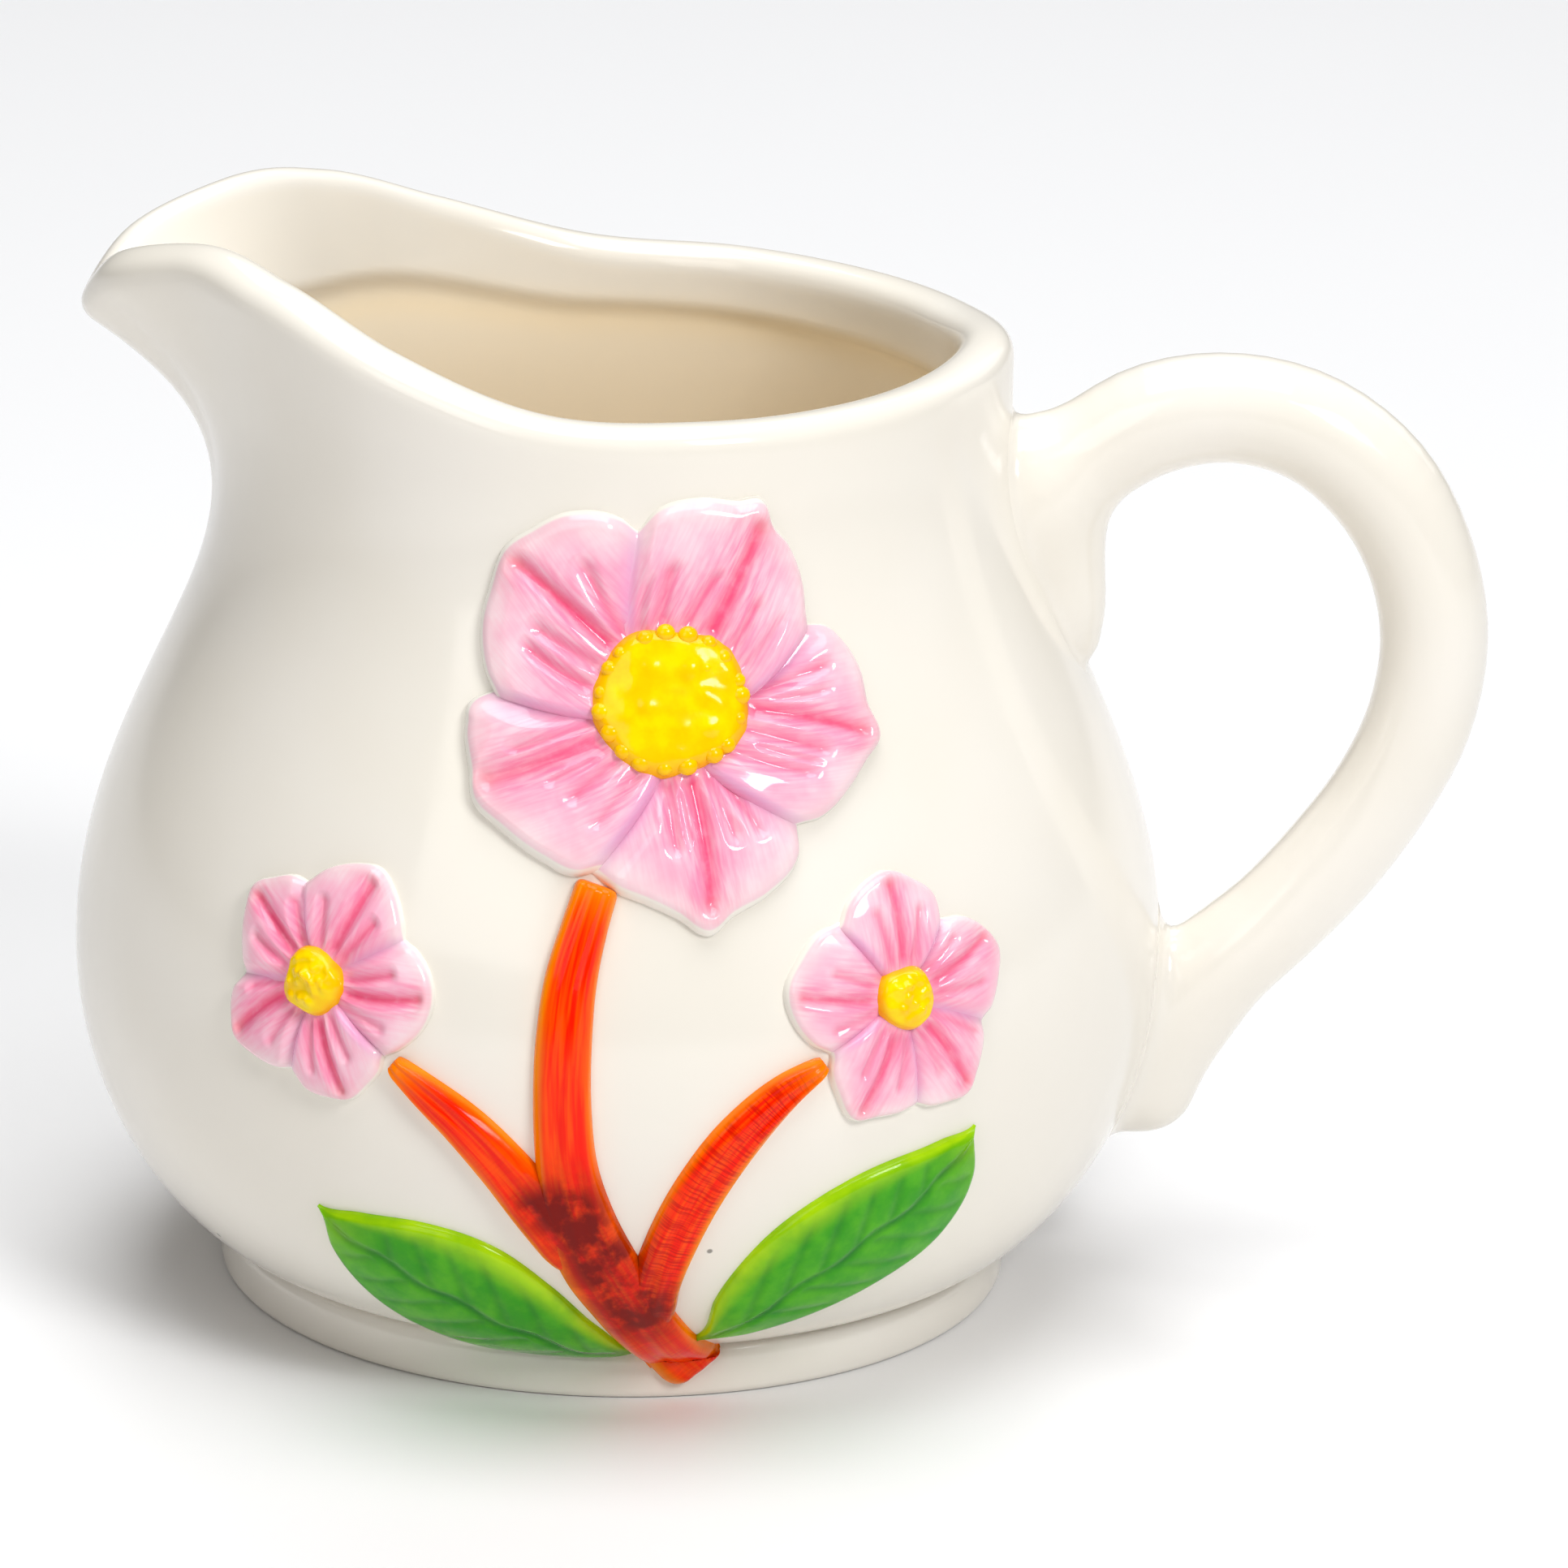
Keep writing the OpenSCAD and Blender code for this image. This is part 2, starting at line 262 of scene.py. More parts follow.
def build_mesh(name, points, faces, masks=None, sharp=None):
    """A mesh object from points in millimetres. masks are named numbers per point, for the glaze."""
    mesh = bpy.data.meshes.new(name)
    mesh.from_pydata((np.asarray(points) * MM).tolist(), [], faces)
    mesh.validate()
    mesh.shade_smooth()
    for key, values in (masks or {}).items():
        layer = mesh.attributes.new(key, "FLOAT", "POINT")
        layer.data.foreach_set("value", np.asarray(values, np.float32).ravel())
    if sharp is not None:
        mesh.set_sharp_from_angle(angle=math.radians(sharp))
    piece = bpy.data.objects.new(name, mesh)
    bpy.context.scene.collection.objects.link(piece)
    return piece


def grid_faces(rows, columns, closed=False, start=0):
    """Quads of a grid of rows by columns; closed joins the last column to the first."""
    r, c = np.meshgrid(np.arange(rows - 1), np.arange(columns if closed else columns - 1), indexing="ij")
    a = start + r * columns + c
    b = start + r * columns + (c + 1) % columns
    return np.stack([a, b, b + columns, a + columns], axis=-1).reshape(-1, 4)


def finish_piece(piece, material, slot, *nodes):
    """Gives a piece its glaze, ties it to the jug and hides the CAD nodes that it stands for."""
    piece.data.materials.append(material)
    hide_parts(*nodes)
    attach(piece, BODY)
    return piece


def add_pieces(shape, rows, material, slot):
    """Builds a piece from each row of a table: its CAD node's name, then what the shape needs."""
    for node, *values in rows:
        finish_piece(shape(node + "_glazed", *values), material, slot, node)


# ---------------- glazes

WARM_PORCELAIN = (0.845, 0.80, 0.715, 1.0)
# Painted warm bounce light for the inside of the jug, also used for painted shade at the inner step
BOUNCE_CREAM = (0.98, 0.84, 0.61, 1.0)
IRON = (0.10, 0.09, 0.08, 1.0)
MILKY_PINK = (0.95, 0.70, 0.77, 1.0)
LEMON = (0.98, 0.72, 0.0, 1.0)
ORANGE = (1.0, 0.09, 0.0005, 1.0)
CRIMSON = (0.60, 0.004, 0.0005, 1.0)
LIT_ORANGE = (1.0, 0.27, 0.0005, 1.0)
LIGHT_LEAF = (0.085, 0.43, 0.006, 1.0)


class Glaze:
    """A node material that is put together line by line. Scales count waves in a metre."""

    def __init__(self, name, roughness, shine=0.5):
        self.material = bpy.data.materials.new(name)
        self.material.use_nodes = True
        self.tree = self.material.node_tree
        self.shader = self.tree.nodes["Principled BSDF"]
        self.shader.inputs["Roughness"].default_value = roughness
        self.shader.inputs["IOR"].default_value = 1.5
        self.shader.inputs["Specular IOR Level"].default_value = shine
        self.place = self.node("ShaderNodeTexCoord").outputs["Object"]

    def node(self, kind, sockets=(), **values):
        """Adds a node, sets its values and fills its sockets with numbers or links."""
        made = self.tree.nodes.new(kind)
        for key, value in values.items():
            setattr(made, key, value)
        for key, value in dict(sockets).items():
            if isinstance(value, bpy.types.NodeSocket):
                self.tree.links.new(value, made.inputs[key])
            else:
                made.inputs[key].default_value = value
        return made

    def mask(self, name):
        return self.node("ShaderNodeAttribute", attribute_name=name).outputs["Fac"]

    def times(self, a, b):
        return self.node("ShaderNodeMath", {0: a, 1: b}, operation="MULTIPLY").outputs[0]

    def remap(self, value, low, high, out_low=0.0, out_high=1.0):
        sockets = {"Value": value, "From Min": low, "From Max": high, "To Min": out_low, "To Max": out_high}
        return self.node("ShaderNodeMapRange", sockets, interpolation_type="SMOOTHSTEP").outputs["Result"]

    def mix(self, amount, a, b):
        return self.node("ShaderNodeMix", {0: amount, 6: a, 7: b}, data_type="RGBA").outputs[2]

    def noise(self, scale, detail, roughness=0.55):
        sockets = {"Vector": self.place, "Scale": scale, "Detail": detail, "Roughness": roughness}
        return self.node("ShaderNodeTexNoise", sockets).outputs["Fac"]

    def cloud(self, scale, detail, low, high, out_low=0.0, out_high=1.0, roughness=0.55):
        """Soft patches: noise between low and high, spread over out_low to out_high."""
        return self.remap(self.noise(scale, detail, roughness), low, high, out_low, out_high)

    def strokes(self, along_scale, across_scale):
        """Brush streaks that run along a stroke, from the masks that hold its length and width."""
        along, across = self.mask("along"), self.mask("across")
        sockets = {0: self.times(along, along_scale), 1: self.times(across, across_scale)}
        flow = self.node("ShaderNodeCombineXYZ", sockets).outputs[0]
        return self.node("ShaderNodeTexNoise", {"Vector": flow, "Scale": 1.0, "Detail": 4.0}).outputs["Fac"]

    def gloss(self, scale, detail, low, high):
        """Lets the roughness wander softly from low to high."""
        self.lead(self.cloud(scale, detail, 0.3, 0.7, low, high), "Roughness")

    def bump(self, scale, detail, distance, strength):
        sockets = {"Strength": strength, "Distance": distance, "Height": self.noise(scale, detail)}
        self.lead(self.node("ShaderNodeBump", sockets).outputs["Normal"], "Normal")

    def lead(self, source, name):
        self.tree.links.new(source, self.shader.inputs[name])

    def colour(self, source):
        self.lead(source, "Base Color")
        return self.material


def speckled(g, base):
    """Scattered iron specks under the glaze."""
    cells = g.node("ShaderNodeTexVoronoi", {"Vector": g.place, "Scale": 95.0})
    chosen = g.node("ShaderNodeSeparateColor", {"Color": cells.outputs["Color"]})
    near = g.remap(cells.outputs["Distance"], 0.018, 0.032, 1.0, 0.0)
    rare = g.remap(chosen.outputs["Red"], 0.86, 0.88)
    return g.mix(g.times(near, g.times(rare, 0.75)), base, IRON)


def porcelain_glaze(name="porcelain_glaze"):
    g = Glaze(name, 0.12)
    warm = g.mix(g.cloud(38.0, 2.0, 0.3, 0.7), glaze("porcelain"), WARM_PORCELAIN)
    # The mask named cream paints warm bounce light inside the jug and painted shade under the inner step
    bounce_tinted = g.mix(g.times(g.mask("cream"), 0.8), warm, BOUNCE_CREAM)
    g.gloss(160.0, 3.0, 0.09, 0.16)
    g.bump(70.0, 2.0, 0.0002, 0.25)
    return g.colour(speckled(g, bounce_tinted))


def petal_glaze():
    g = Glaze("petal_glaze", 0.1, 0.42)
    cloud = g.cloud(260.0, 3.0, 0.3, 0.72)
    pale = g.mix(cloud, glaze("pale_pink"), MILKY_PINK)
    streak = g.remap(g.strokes(0.35, 3.0), 0.3, 0.7, 0.35, 1.0)
    washed = g.mix(g.times(g.mask("wash"), streak), pale, glaze("pink"))
    # Lilac: partly the purple outline painted round the petals, partly painted shade in the valleys between
    # petals and in the grooves near the centre
    valley = g.times(g.mask("lilac"), g.remap(cloud, 0.0, 1.0, 0.6, 1.0))
    lilac = g.mix(valley, washed, glaze("lilac"))
    line = g.times(g.mask("line"), g.cloud(900.0, 2.0, 0.2, 0.6, 0.65, 1.0))
    rose = g.mix(line, lilac, glaze("rose"))
    g.gloss(300.0, 2.0, 0.06, 0.14)
    g.bump(500.0, 2.0, 0.0001, 0.15)
    return g.colour(g.mix(g.mask("bare"), rose, glaze("porcelain")))


def yolk_glaze():
    g = Glaze("yolk_glaze", 0.12, 0.25)
    base = g.mix(g.cloud(420.0, 3.0, 0.35, 0.7), glaze("yolk"), LEMON)
    # Amber rim: partly orange paint, partly painted shade at the centre's edge and among the ring beads
    rim = g.times(g.mask("rim"), g.cloud(500.0, 2.0, 0.2, 0.7, 0.35, 1.0))
    g.gloss(300.0, 2.0, 0.08, 0.2)
    g.bump(900.0, 2.0, 0.0001, 0.3)
    return g.colour(g.mix(rim, base, glaze("amber")))


def stem_glaze():
    g = Glaze("stem_glaze", 0.12, 0.16)
    long_strokes = g.remap(g.strokes(0.12, 2.6), 0.38, 0.66)
    short_strokes = g.remap(g.strokes(5.0, 0.35), 0.42, 0.62)
    base = g.mix(g.times(long_strokes, 0.75), glaze("coral"), ORANGE)
    crossed = g.mix(g.times(short_strokes, g.mask("hatch")), base, CRIMSON)
    lit = g.times(g.mask("lit"), g.cloud(260.0, 2.0, 0.2, 0.65, 0.7, 1.0))
    edged = g.mix(lit, crossed, LIT_ORANGE)
    blot = g.times(g.mask("dark"), g.cloud(420.0, 4.0, 0.32, 0.58, 0.35, 1.0, 0.6))
    g.gloss(300.0, 2.0, 0.08, 0.2)
    g.bump(800.0, 3.0, 0.0001, 0.25)
    return g.colour(g.mix(blot, edged, glaze("maroon")))


def leaf_glaze():
    g = Glaze("leaf_glaze", 0.12, 0.22)
    base = g.mix(g.cloud(300.0, 4.0, 0.32, 0.7, roughness=0.6), glaze("leaf"), LIGHT_LEAF)
    vein = g.times(g.mask("vein"), g.cloud(500.0, 3.0, 0.2, 0.7, 0.45, 1.0))
    veined = g.mix(vein, base, glaze("vein"))
    lit = g.times(g.mask("lit"), g.cloud(240.0, 3.0, 0.25, 0.7, 0.5, 1.0))
    g.gloss(300.0, 2.0, 0.08, 0.2)
    g.bump(700.0, 3.0, 0.0001, 0.3)
    return g.colour(g.mix(lit, veined, glaze("lime")))


# ---------------- the pot

def foot_section():
    """Radius and height from the middle of the foot's recess, under the ring and up its outside."""
    r, h, hole = pot("foot_r"), pot("foot_h"), pot("foot_hole_r")
    inner_round, outer_round = 1.0, 0.7
    quarter = [math.radians(a) for a in range(0, 91, 15)]
    points = [(hole * k, h - 0.2) for k in (0.05, 0.2, 0.4, 0.6, 0.8)]
    points += [(hole - 1.5, h - 0.25), (hole - 0.6, h - 0.6), (hole - 0.1, h - 1.4), (hole, 2)]
    points += [(hole + inner_round * (1 - math.cos(t)), inner_round * (1 - math.sin(t))) for t in quarter]
    points += [(hole + 2.2, 0), (r - 2.2, 0)]
    points += [(r - outer_round * (1 - math.sin(t)), outer_round * (1 - math.cos(t))) for t in quarter]
    points += [(r, 1.2), (r - 0.05, 2), (r - 0.15, h - 1.3), (r - 0.3, h - 0.5), (r - 0.6, h - 0.16),
               (r - 0.95, h - 0.02)]
    return np.array(points)


def outer_wall(columns):
    """Grid of points up the outside, rows from the crease above the foot to the rim."""
    u = np.arange(columns) * 360.0 / columns
    around = np.minimum(u, 360 - u)
    foot_h, start, belly_z = map(pot, ("foot_h", "spout_z", "belly_z"))
    top = rim_shape(around)[1]
    low = foot_h + (belly_z - foot_h) * np.linspace(0, 1, 36) ** 1.7
    middle = np.linspace(belly_z, start, 34)[1:]
    rise = np.linspace(0, 1, 66)[1:]
    z = np.concatenate([
        np.repeat(np.concatenate([low, middle])[:, None], columns, axis=1),
        start + (top - start)[None, :] * rise[:, None]])
    r = wall_radius(around, z)
    turn = np.radians(u)[None, :]
    return np.stack([r * np.cos(turn), r * np.sin(turn), z], axis=-1)


def grid_normals(grid):
    """Outward directions of a grid that closes round its columns."""
    across = np.roll(grid, -1, axis=1) - np.roll(grid, 1, axis=1)
    up = np.gradient(grid, axis=0)
    normal = np.cross(across, up)
    return normal / np.linalg.norm(normal, axis=-1, keepdims=True), up


ROUND = 360              # points in a ring of the pot
RIM_SQUARENESS = 0.8     # 1 is a true half circle
BAND_DEPTH = 0.9         # how much thicker the wall is in the band inside the rim
BAND_Z, BAND_RISE = 77.2, 3.2   # height at which the band ends, and its rise under the spout
FLOOR_T = 5.2            # floor above the foot ring's height
CHANNEL_ROUNDS = 10      # how often the pouring channel is smoothed


def pot_piece():
    columns = ROUND
    wall = pot("wall")
    outside = outer_wall(columns)
    normal, up = grid_normals(outside)
    up = up / np.linalg.norm(up, axis=-1, keepdims=True)
    # The rim: a slightly squared half circle from the outer to the inner wall.
    lip = []
    for a in np.linspace(0, 180, 19)[1:-1]:
        c, s = math.cos(math.radians(a)), math.sin(math.radians(a))
        side = math.copysign(abs(c) ** RIM_SQUARENESS, c)
        lift = abs(s) ** RIM_SQUARENESS
        lip.append(outside[-1] - normal[-1] * wall / 2
                   + wall / 2 * (side * normal[-1] + lift * up[-1]))
    # The inside follows the outside, with a thicker band at the top that ends in a soft step.
    height = outside[:, 0, 2]
    keep = height > pot("foot_h") + 5
    around = from_handle(outside[-1, :, 0], outside[-1, :, 1])
    step_z = BAND_Z + BAND_RISE * smooth((around - 100) / 45)[None, :]
    below = smooth((step_z - outside[..., 2]) / 1.6 + 0.5)
    inside = (outside - normal * (wall - BAND_DEPTH * below)[..., None])[keep][::-1]
    # The pouring channel is rounded inside, not folded.
    rounding = bell(around - 180, 12)[None, :, None]
    for _ in range(CHANNEL_ROUNDS):
        between = (np.roll(inside, 1, axis=1) + np.roll(inside, -1, axis=1)) / 2
        inside += rounding * 0.5 * (between - inside)
    last = inside[-1]
    floor_z = pot("foot_h") + FLOOR_T
    floor = []
    for k in np.linspace(0, 1, 22)[1:]:
        shrink = 1 - 0.985 * k
        ring = last * np.array([shrink, shrink, 0]) + np.array([0, 0, 1]) * (
            floor_z + (last[:, 2:3] - floor_z) * (1 - smooth(np.array(min(1, k * 5)))))
        floor.append(ring)
    turn = np.arange(columns) * 2 * math.pi / columns
    foot = [np.stack([r * np.cos(turn), r * np.sin(turn), np.full(columns, z)], axis=-1)
            for r, z in foot_section()]
    rows = np.concatenate([np.array(foot), outside, np.array(lip), inside, np.array(floor)])
    count = len(rows)
    points = rows.reshape(-1, 3)
    first, last_row = np.arange(columns), (count - 1) * columns + np.arange(columns)
    faces = grid_faces(count, columns, closed=True).tolist()
    faces += [first[::-1].tolist(), last_row.tolist()]
    # Painted light inside: a warm tint for light bounced round the inside, stronger deeper down, and
    # painted shade in a band just under the step
    shade = bell(inside[..., 2] - step_z + 1.2, 1.5)
    deep = smooth((step_z + 3 - inside[..., 2]) / 5)
    cream = np.concatenate([
        np.zeros((len(foot) + len(outside) + len(lip), columns)),
        np.clip(0.12 + 0.7 * deep + 0.4 * shade, 0, 1.2),
        np.full((len(floor), columns), 0.8)])
    return build_mesh("pot_glazed", points, faces, {"cream": cream})


# ---------------- the handle

# Middle line in the XZ plane and the rod's radius as a share of the free rod's.
HANDLE_LINE = [
    (31, 66.5, 1.25), (35.3, 70.4, 1.12), (39, 73.5, 1.02), (43.7, 76.4, 1.03), (50, 77.7, 1.01),
    (57, 76.3, 1.02), (63, 71.8, 1.04), (66.6, 65.8, 1.01), (68.3, 58.5, 1), (67.4, 50.9, 0.98),
    (64.6, 44.4, 0.95), (60.8, 38.6, 0.96), (56.2, 33.1, 0.95), (51.3, 28.1, 0.99),
    (48.9, 24.3, 0.97), (47, 20.8, 0.94), (45.7, 17.5, 0.92),
]
# The drop on the neck below the upper root.
TAIL_LINE = [
    (33.4, 71.5, 0.95), (34.5, 69, 1.08), (35.3, 66, 1.06), (36, 63, 0.97), (36.9, 59.8, 0.8),
    (37.6, 57.5, 0.58),
]


def soft_min(a, b, k):
    """The smaller of two distances, with the corner between them rounded over k."""
    h = np.maximum(k - np.abs(a - b), 0) / k
    return np.minimum(a, b) - h * h * h * k / 6


def rod_distance(points, line):
    """Distance to a round rod along a path of (x, z, radius)."""
    best = np.full(len(points), 1e9)
    a, b = line[:-1], line[1:]
    for start, end in zip(a, b):
        sx, sz, ex, ez = start[0], start[1], end[0] - start[0], end[1] - start[1]
        t = ((points[:, 0] - sx) * ex + (points[:, 2] - sz) * ez) / (ex * ex + ez * ez)
        t = np.clip(t, 0, 1)
        gap = np.sqrt((points[:, 0] - sx - t * ex) ** 2 + points[:, 1] ** 2
                      + (points[:, 2] - sz - t * ez) ** 2)
        best = np.minimum(best, gap - (start[2] + (end[2] - start[2]) * t))
    return best


def pot_distance(points):
    """Distance out of the pot's outside, measured roughly square to the wall."""
    r = np.hypot(points[:, 0], points[:, 1])
    z = np.minimum(points[:, 2], pot("neck_z") + 20)
    slope = pot_slope(z)
    return (r - wall_radius(from_handle(points[:, 0], points[:, 1]), z)) / np.sqrt(1 + slope ** 2)


HANDLE_SKIN = 0.09                              # keeps the fillet's thin edge off the pot's wall
HANDLE_ROOT = 0.9                               # how deep the roots reach into the wall
HANDLE_BOX = (26, -13, 8), (75, 13, 85)


def handle_field(points, rod, tail, blend):
    """Below zero inside the handle: rod and drop run together and flow into the pot."""
    clay = soft_min(rod_distance(points, rod), rod_distance(points, tail), 4.0)
    gap = pot_distance(points)
    # The fillet is soft on the belly and tight under the rim.
    soft = blend * (2.2 - 1.3 * smooth((points[:, 2] - 38) / 12))
    joined = soft_min(clay, gap, soft)
    return np.maximum(np.maximum(joined + HANDLE_SKIN, -(gap + HANDLE_ROOT)), clay - blend - 0.3)


def carve(field, low, high, step):
    """Surface of field = 0 as points and quads: one point in each cell that the surface crosses."""
    axes = [np.arange(low[i], high[i] + step, step) for i in range(3)]
    shape = tuple(len(a) for a in axes)
    grid = np.stack(np.meshgrid(*axes, indexing="ij"), axis=-1).reshape(-1, 3)
    value = field(grid).reshape(shape)
    inside = value < 0
    cells = tuple(n - 1 for n in shape)
    total = np.zeros(cells + (3,))
    hits = np.zeros(cells)
    corner = {o: value[tuple(slice(o[i], o[i] + cells[i]) for i in range(3))] for o in np.ndindex(2, 2, 2)}
    for a in corner:
        for axis in range(3):
            if a[axis]:
                continue
            b = tuple(v + (i == axis) for i, v in enumerate(a))
            cross = (corner[a] < 0) != (corner[b] < 0)
            total += np.array(a) * cross[..., None]
            total[..., axis] += np.where(cross, corner[a] / np.where(cross, corner[a] - corner[b], 1), 0)
            hits += cross
    used = hits > 0
    number = np.full(cells, -1)
    number[used] = np.arange(used.sum())
    base = np.stack(np.nonzero(used), axis=-1)
    points = np.array([a[0] for a in axes]) + step * (base + total[used] / hits[used][:, None])
    quads = []
    for axis in range(3):
        others = [i for i in range(3) if i != axis]
        here = [slice(1, -1)] * 3
        here[axis] = slice(0, -1)
        ahead = list(here)
        ahead[axis] = slice(1, None)
        where = np.stack(np.nonzero(inside[tuple(here)] != inside[tuple(ahead)]), axis=-1)
        where[:, others] += 1
        back = np.zeros((4, 3), int)
        back[:, others] = (0, 0), (1, 0), (1, 1), (0, 1)
        quad = np.stack([number[tuple((where - b).T)] for b in back], axis=-1)
        outward = inside[tuple(where.T)] != (axis == 1)
        quad[~outward] = quad[~outward][:, ::-1]
        quads.append(quad)
    return points, np.concatenate(quads)


def settle(field, points, rounds=4):
    """Moves points straight onto the surface of field = 0."""
    for _ in range(rounds):
        value = field(points)
        slope = np.zeros_like(points)
        for i in range(3):
            step = np.zeros(3)
            step[i] = 0.02
            slope[:, i] = (field(points + step) - field(points - step)) / 0.04
        size = np.maximum((slope ** 2).sum(axis=1), 0.1)
        move = (value / size)[:, None] * slope
        points = points - np.clip(move, -0.3, 0.3)
    return points


def handle_piece():
    radius, blend = mm("jug_handle", "rod_d") / 2, mm("jug_handle", "blend")
    rod, tail = path(HANDLE_LINE, 60), path(TAIL_LINE, 16)
    rod[:, 2] *= radius
    tail[:, 2] *= radius

    def field(points):
        return handle_field(points, rod, tail, blend)

    step = 0.5
    points, quads = carve(field, *HANDLE_BOX, step)
    points = settle(field, points)
    return build_mesh("handle_glazed", points, quads.tolist(), {"cream": np.zeros(len(points))})


# ---------------- relief on the belly

def arc_table():
    """Heights up the pot and the length of wall below each."""
    z = np.linspace(pot("foot_h"), 84, 1600)
    return z, np.concatenate([[0], np.cumsum(np.hypot(np.diff(z), np.diff(pot_radius(z))))])


def unroll(at, a, b):
    """Angle and height of a spot that lies a across and b up the wall from at (angle, height)."""
    heights, arcs = arc_table()
    z = np.interp(np.interp(at[1], heights, arcs) + b, arcs, heights)
    return at[0] + np.degrees(a / pot_radius((z + at[1]) / 2)), z


def on_front(x, z):
    """Angle and height of a spot drawn on the front view."""
    return np.degrees(np.arcsin(np.clip(x / pot_radius(z), -0.99, 0.99))), z


def stand_off(angle, z, height):
    """Points that stand height off the pot at an angle from the front and a height z."""
    turn = np.radians(angle)
    on_ring = smooth((pot("foot_h") + 0.7 - z) / 1.2)
    slope = pot_slope(z) * (1 - on_ring)
    size = np.sqrt(1 + slope ** 2)
    r = pot_radius(z) * (1 - on_ring) + pot("foot_r") * on_ring + height / size
    return np.stack([r * np.sin(turn), -r * np.cos(turn), z - slope * height / size], axis=-1)


def dome(distance, width):
    """Height share of a rounded edge: 0 at the edge, 1 from width inwards."""
    t = np.clip(distance / width, 0, 1)
    return np.sqrt(1 - (1 - t) ** 2)


UNDER = -0.5   # how deep the pieces' undersides lie in the wall
SINK = -0.12   # how deep their outer edges lie in the wall


def laid_solid(name, angle, z, lift, masks, sharp, keep=slice(None), flip=False):
    """A closed solid on the pot, from a grid: its top stands off by lift, its underside is in the wall."""
    part = (keep, slice(None, None, -1 if flip else 1))
    top = stand_off(angle, z, lift)[part]
    under = stand_off(angle, z, np.full_like(lift, UNDER))[part]
    masks = {key: np.tile(np.broadcast_to(value, lift.shape)[part].ravel(), 2)
             for key, value in masks.items()}
    rows, columns = top.shape[:2]
    count = rows * columns
    upper = grid_faces(rows, columns)
    index = np.arange(count).reshape(rows, columns)
    edge = np.concatenate([index[0, :], index[1:, -1], index[-1, -2::-1], index[-2:0:-1, 0]])
    following = np.roll(edge, -1)
    sides = np.stack([edge, edge + count, following + count, following], axis=-1)
    points = np.concatenate([top.reshape(-1, 3), under.reshape(-1, 3)])
    faces = np.concatenate([upper, upper[:, ::-1] + count, sides]).tolist()
    return build_mesh(name, points, faces, masks, sharp)


def fans(ring, tip, flip=False):
    """Triangles that close a ring of points with one point."""
    way = -1 if flip else 1
    return [[a, b, tip][::way] for a, b in zip(ring, ring[1:] + ring[:1])]


# One petal, drawn as (direction, distance) from the flower's middle.
# grooves: (direction at the centre, direction at the end, start, end, width, strength)
# over: whether its first and last sides lie over their neighbours
# swirl: how much further round its first and last sides start at the centre
Petal = namedtuple("Petal", "outline grooves over swirl", defaults=((0, 0), (0, 0)))

LARGE_PETALS = [
    Petal([(101, 13.8), (106, 15.3), (119, 17.2), (130, 17.6), (138.5, 17.9), (150, 16.9), (160, 16.2),
           (172, 14.8), (180, 13.6)],
          [(136, 139, 6.5, 17.2, 0.62, 1.0), (125, 122, 6.5, 13.5, 0.55, 0.6),
           (154, 152, 6.5, 12.5, 0.5, 0.55), (170, 160, 6.5, 12.4, 0.5, 0.65)], (0, 1), (19, 11)),
    Petal([(25, 13), (30, 13.4), (38, 14.6), (50, 16), (58, 16.6), (63, 17.8), (70, 17), (81, 16.6),
           (92, 15.7), (101, 13.8)],
          [(58, 62, 6.5, 16.6, 0.85, 1.0), (76, 68, 6.5, 11.5, 0.6, 0.6), (40, 48, 6.5, 11, 0.5, 0.6),
           (97, 88, 6.5, 11.5, 0.5, 0.6), (112, 98, 6.5, 10.5, 0.4, 0.3), (24, 36, 6.5, 11.5, 0.4, 0.3)],
          (1, 0), (-21, 19)),
    Petal([(-47, 14), (-40, 15.3), (-28, 16.4), (-20, 17.1), (-14, 18), (-5, 16.8), (5, 16.4), (15, 15.4),
           (21, 14.4), (25, 12.8)],
          [(-7, -13, 6.5, 16.6, 0.62, 0.9), (5, 10, 6.5, 13.4, 0.55, 0.6), (-22, -21, 6.5, 13.5, 0.55, 0.6),
           (-40, -30, 6.5, 13, 0.5, 0.45), (-2, 1, 8, 13, 0.35, 0.3), (-30, -26, 8, 13, 0.35, 0.25)],
          (1, 0), (-14, -21)),
    Petal([(-113, 14.6), (-105, 15.4), (-97, 15.9), (-89, 17), (-82.5, 18.6), (-76, 17.6), (-66, 17.1),
           (-54, 16), (-46, 13.8)],
          [(-77, -81, 6.5, 17.4, 0.62, 1.0), (-93, -89, 6.5, 12.5, 0.5, 0.6),
           (-66, -68, 6.5, 12.5, 0.45, 0.5), (-58, -59, 6.5, 13, 0.45, 0.6),
           (-86, -84, 7.5, 12, 0.35, 0.3)], (0, 0), (12, -15)),
    Petal([(-180, 13.8), (-177, 15.4), (-170, 16.2), (-158, 16.6), (-150, 17.3), (-141, 16.6), (-127, 15.9),
           (-118, 15.4), (-113, 14.2)],
          [(-150, -154, 6.5, 16.6, 0.95, 0.85), (-161, -160, 6.5, 13.5, 0.5, 0.5),
           (-132, -133, 6.5, 11.5, 0.5, 0.55), (-115, -120, 6.5, 12, 0.4, 0.4),
           (-141, -144, 7.5, 12, 0.4, 0.35)], (0, 1), (11, 12)),
]
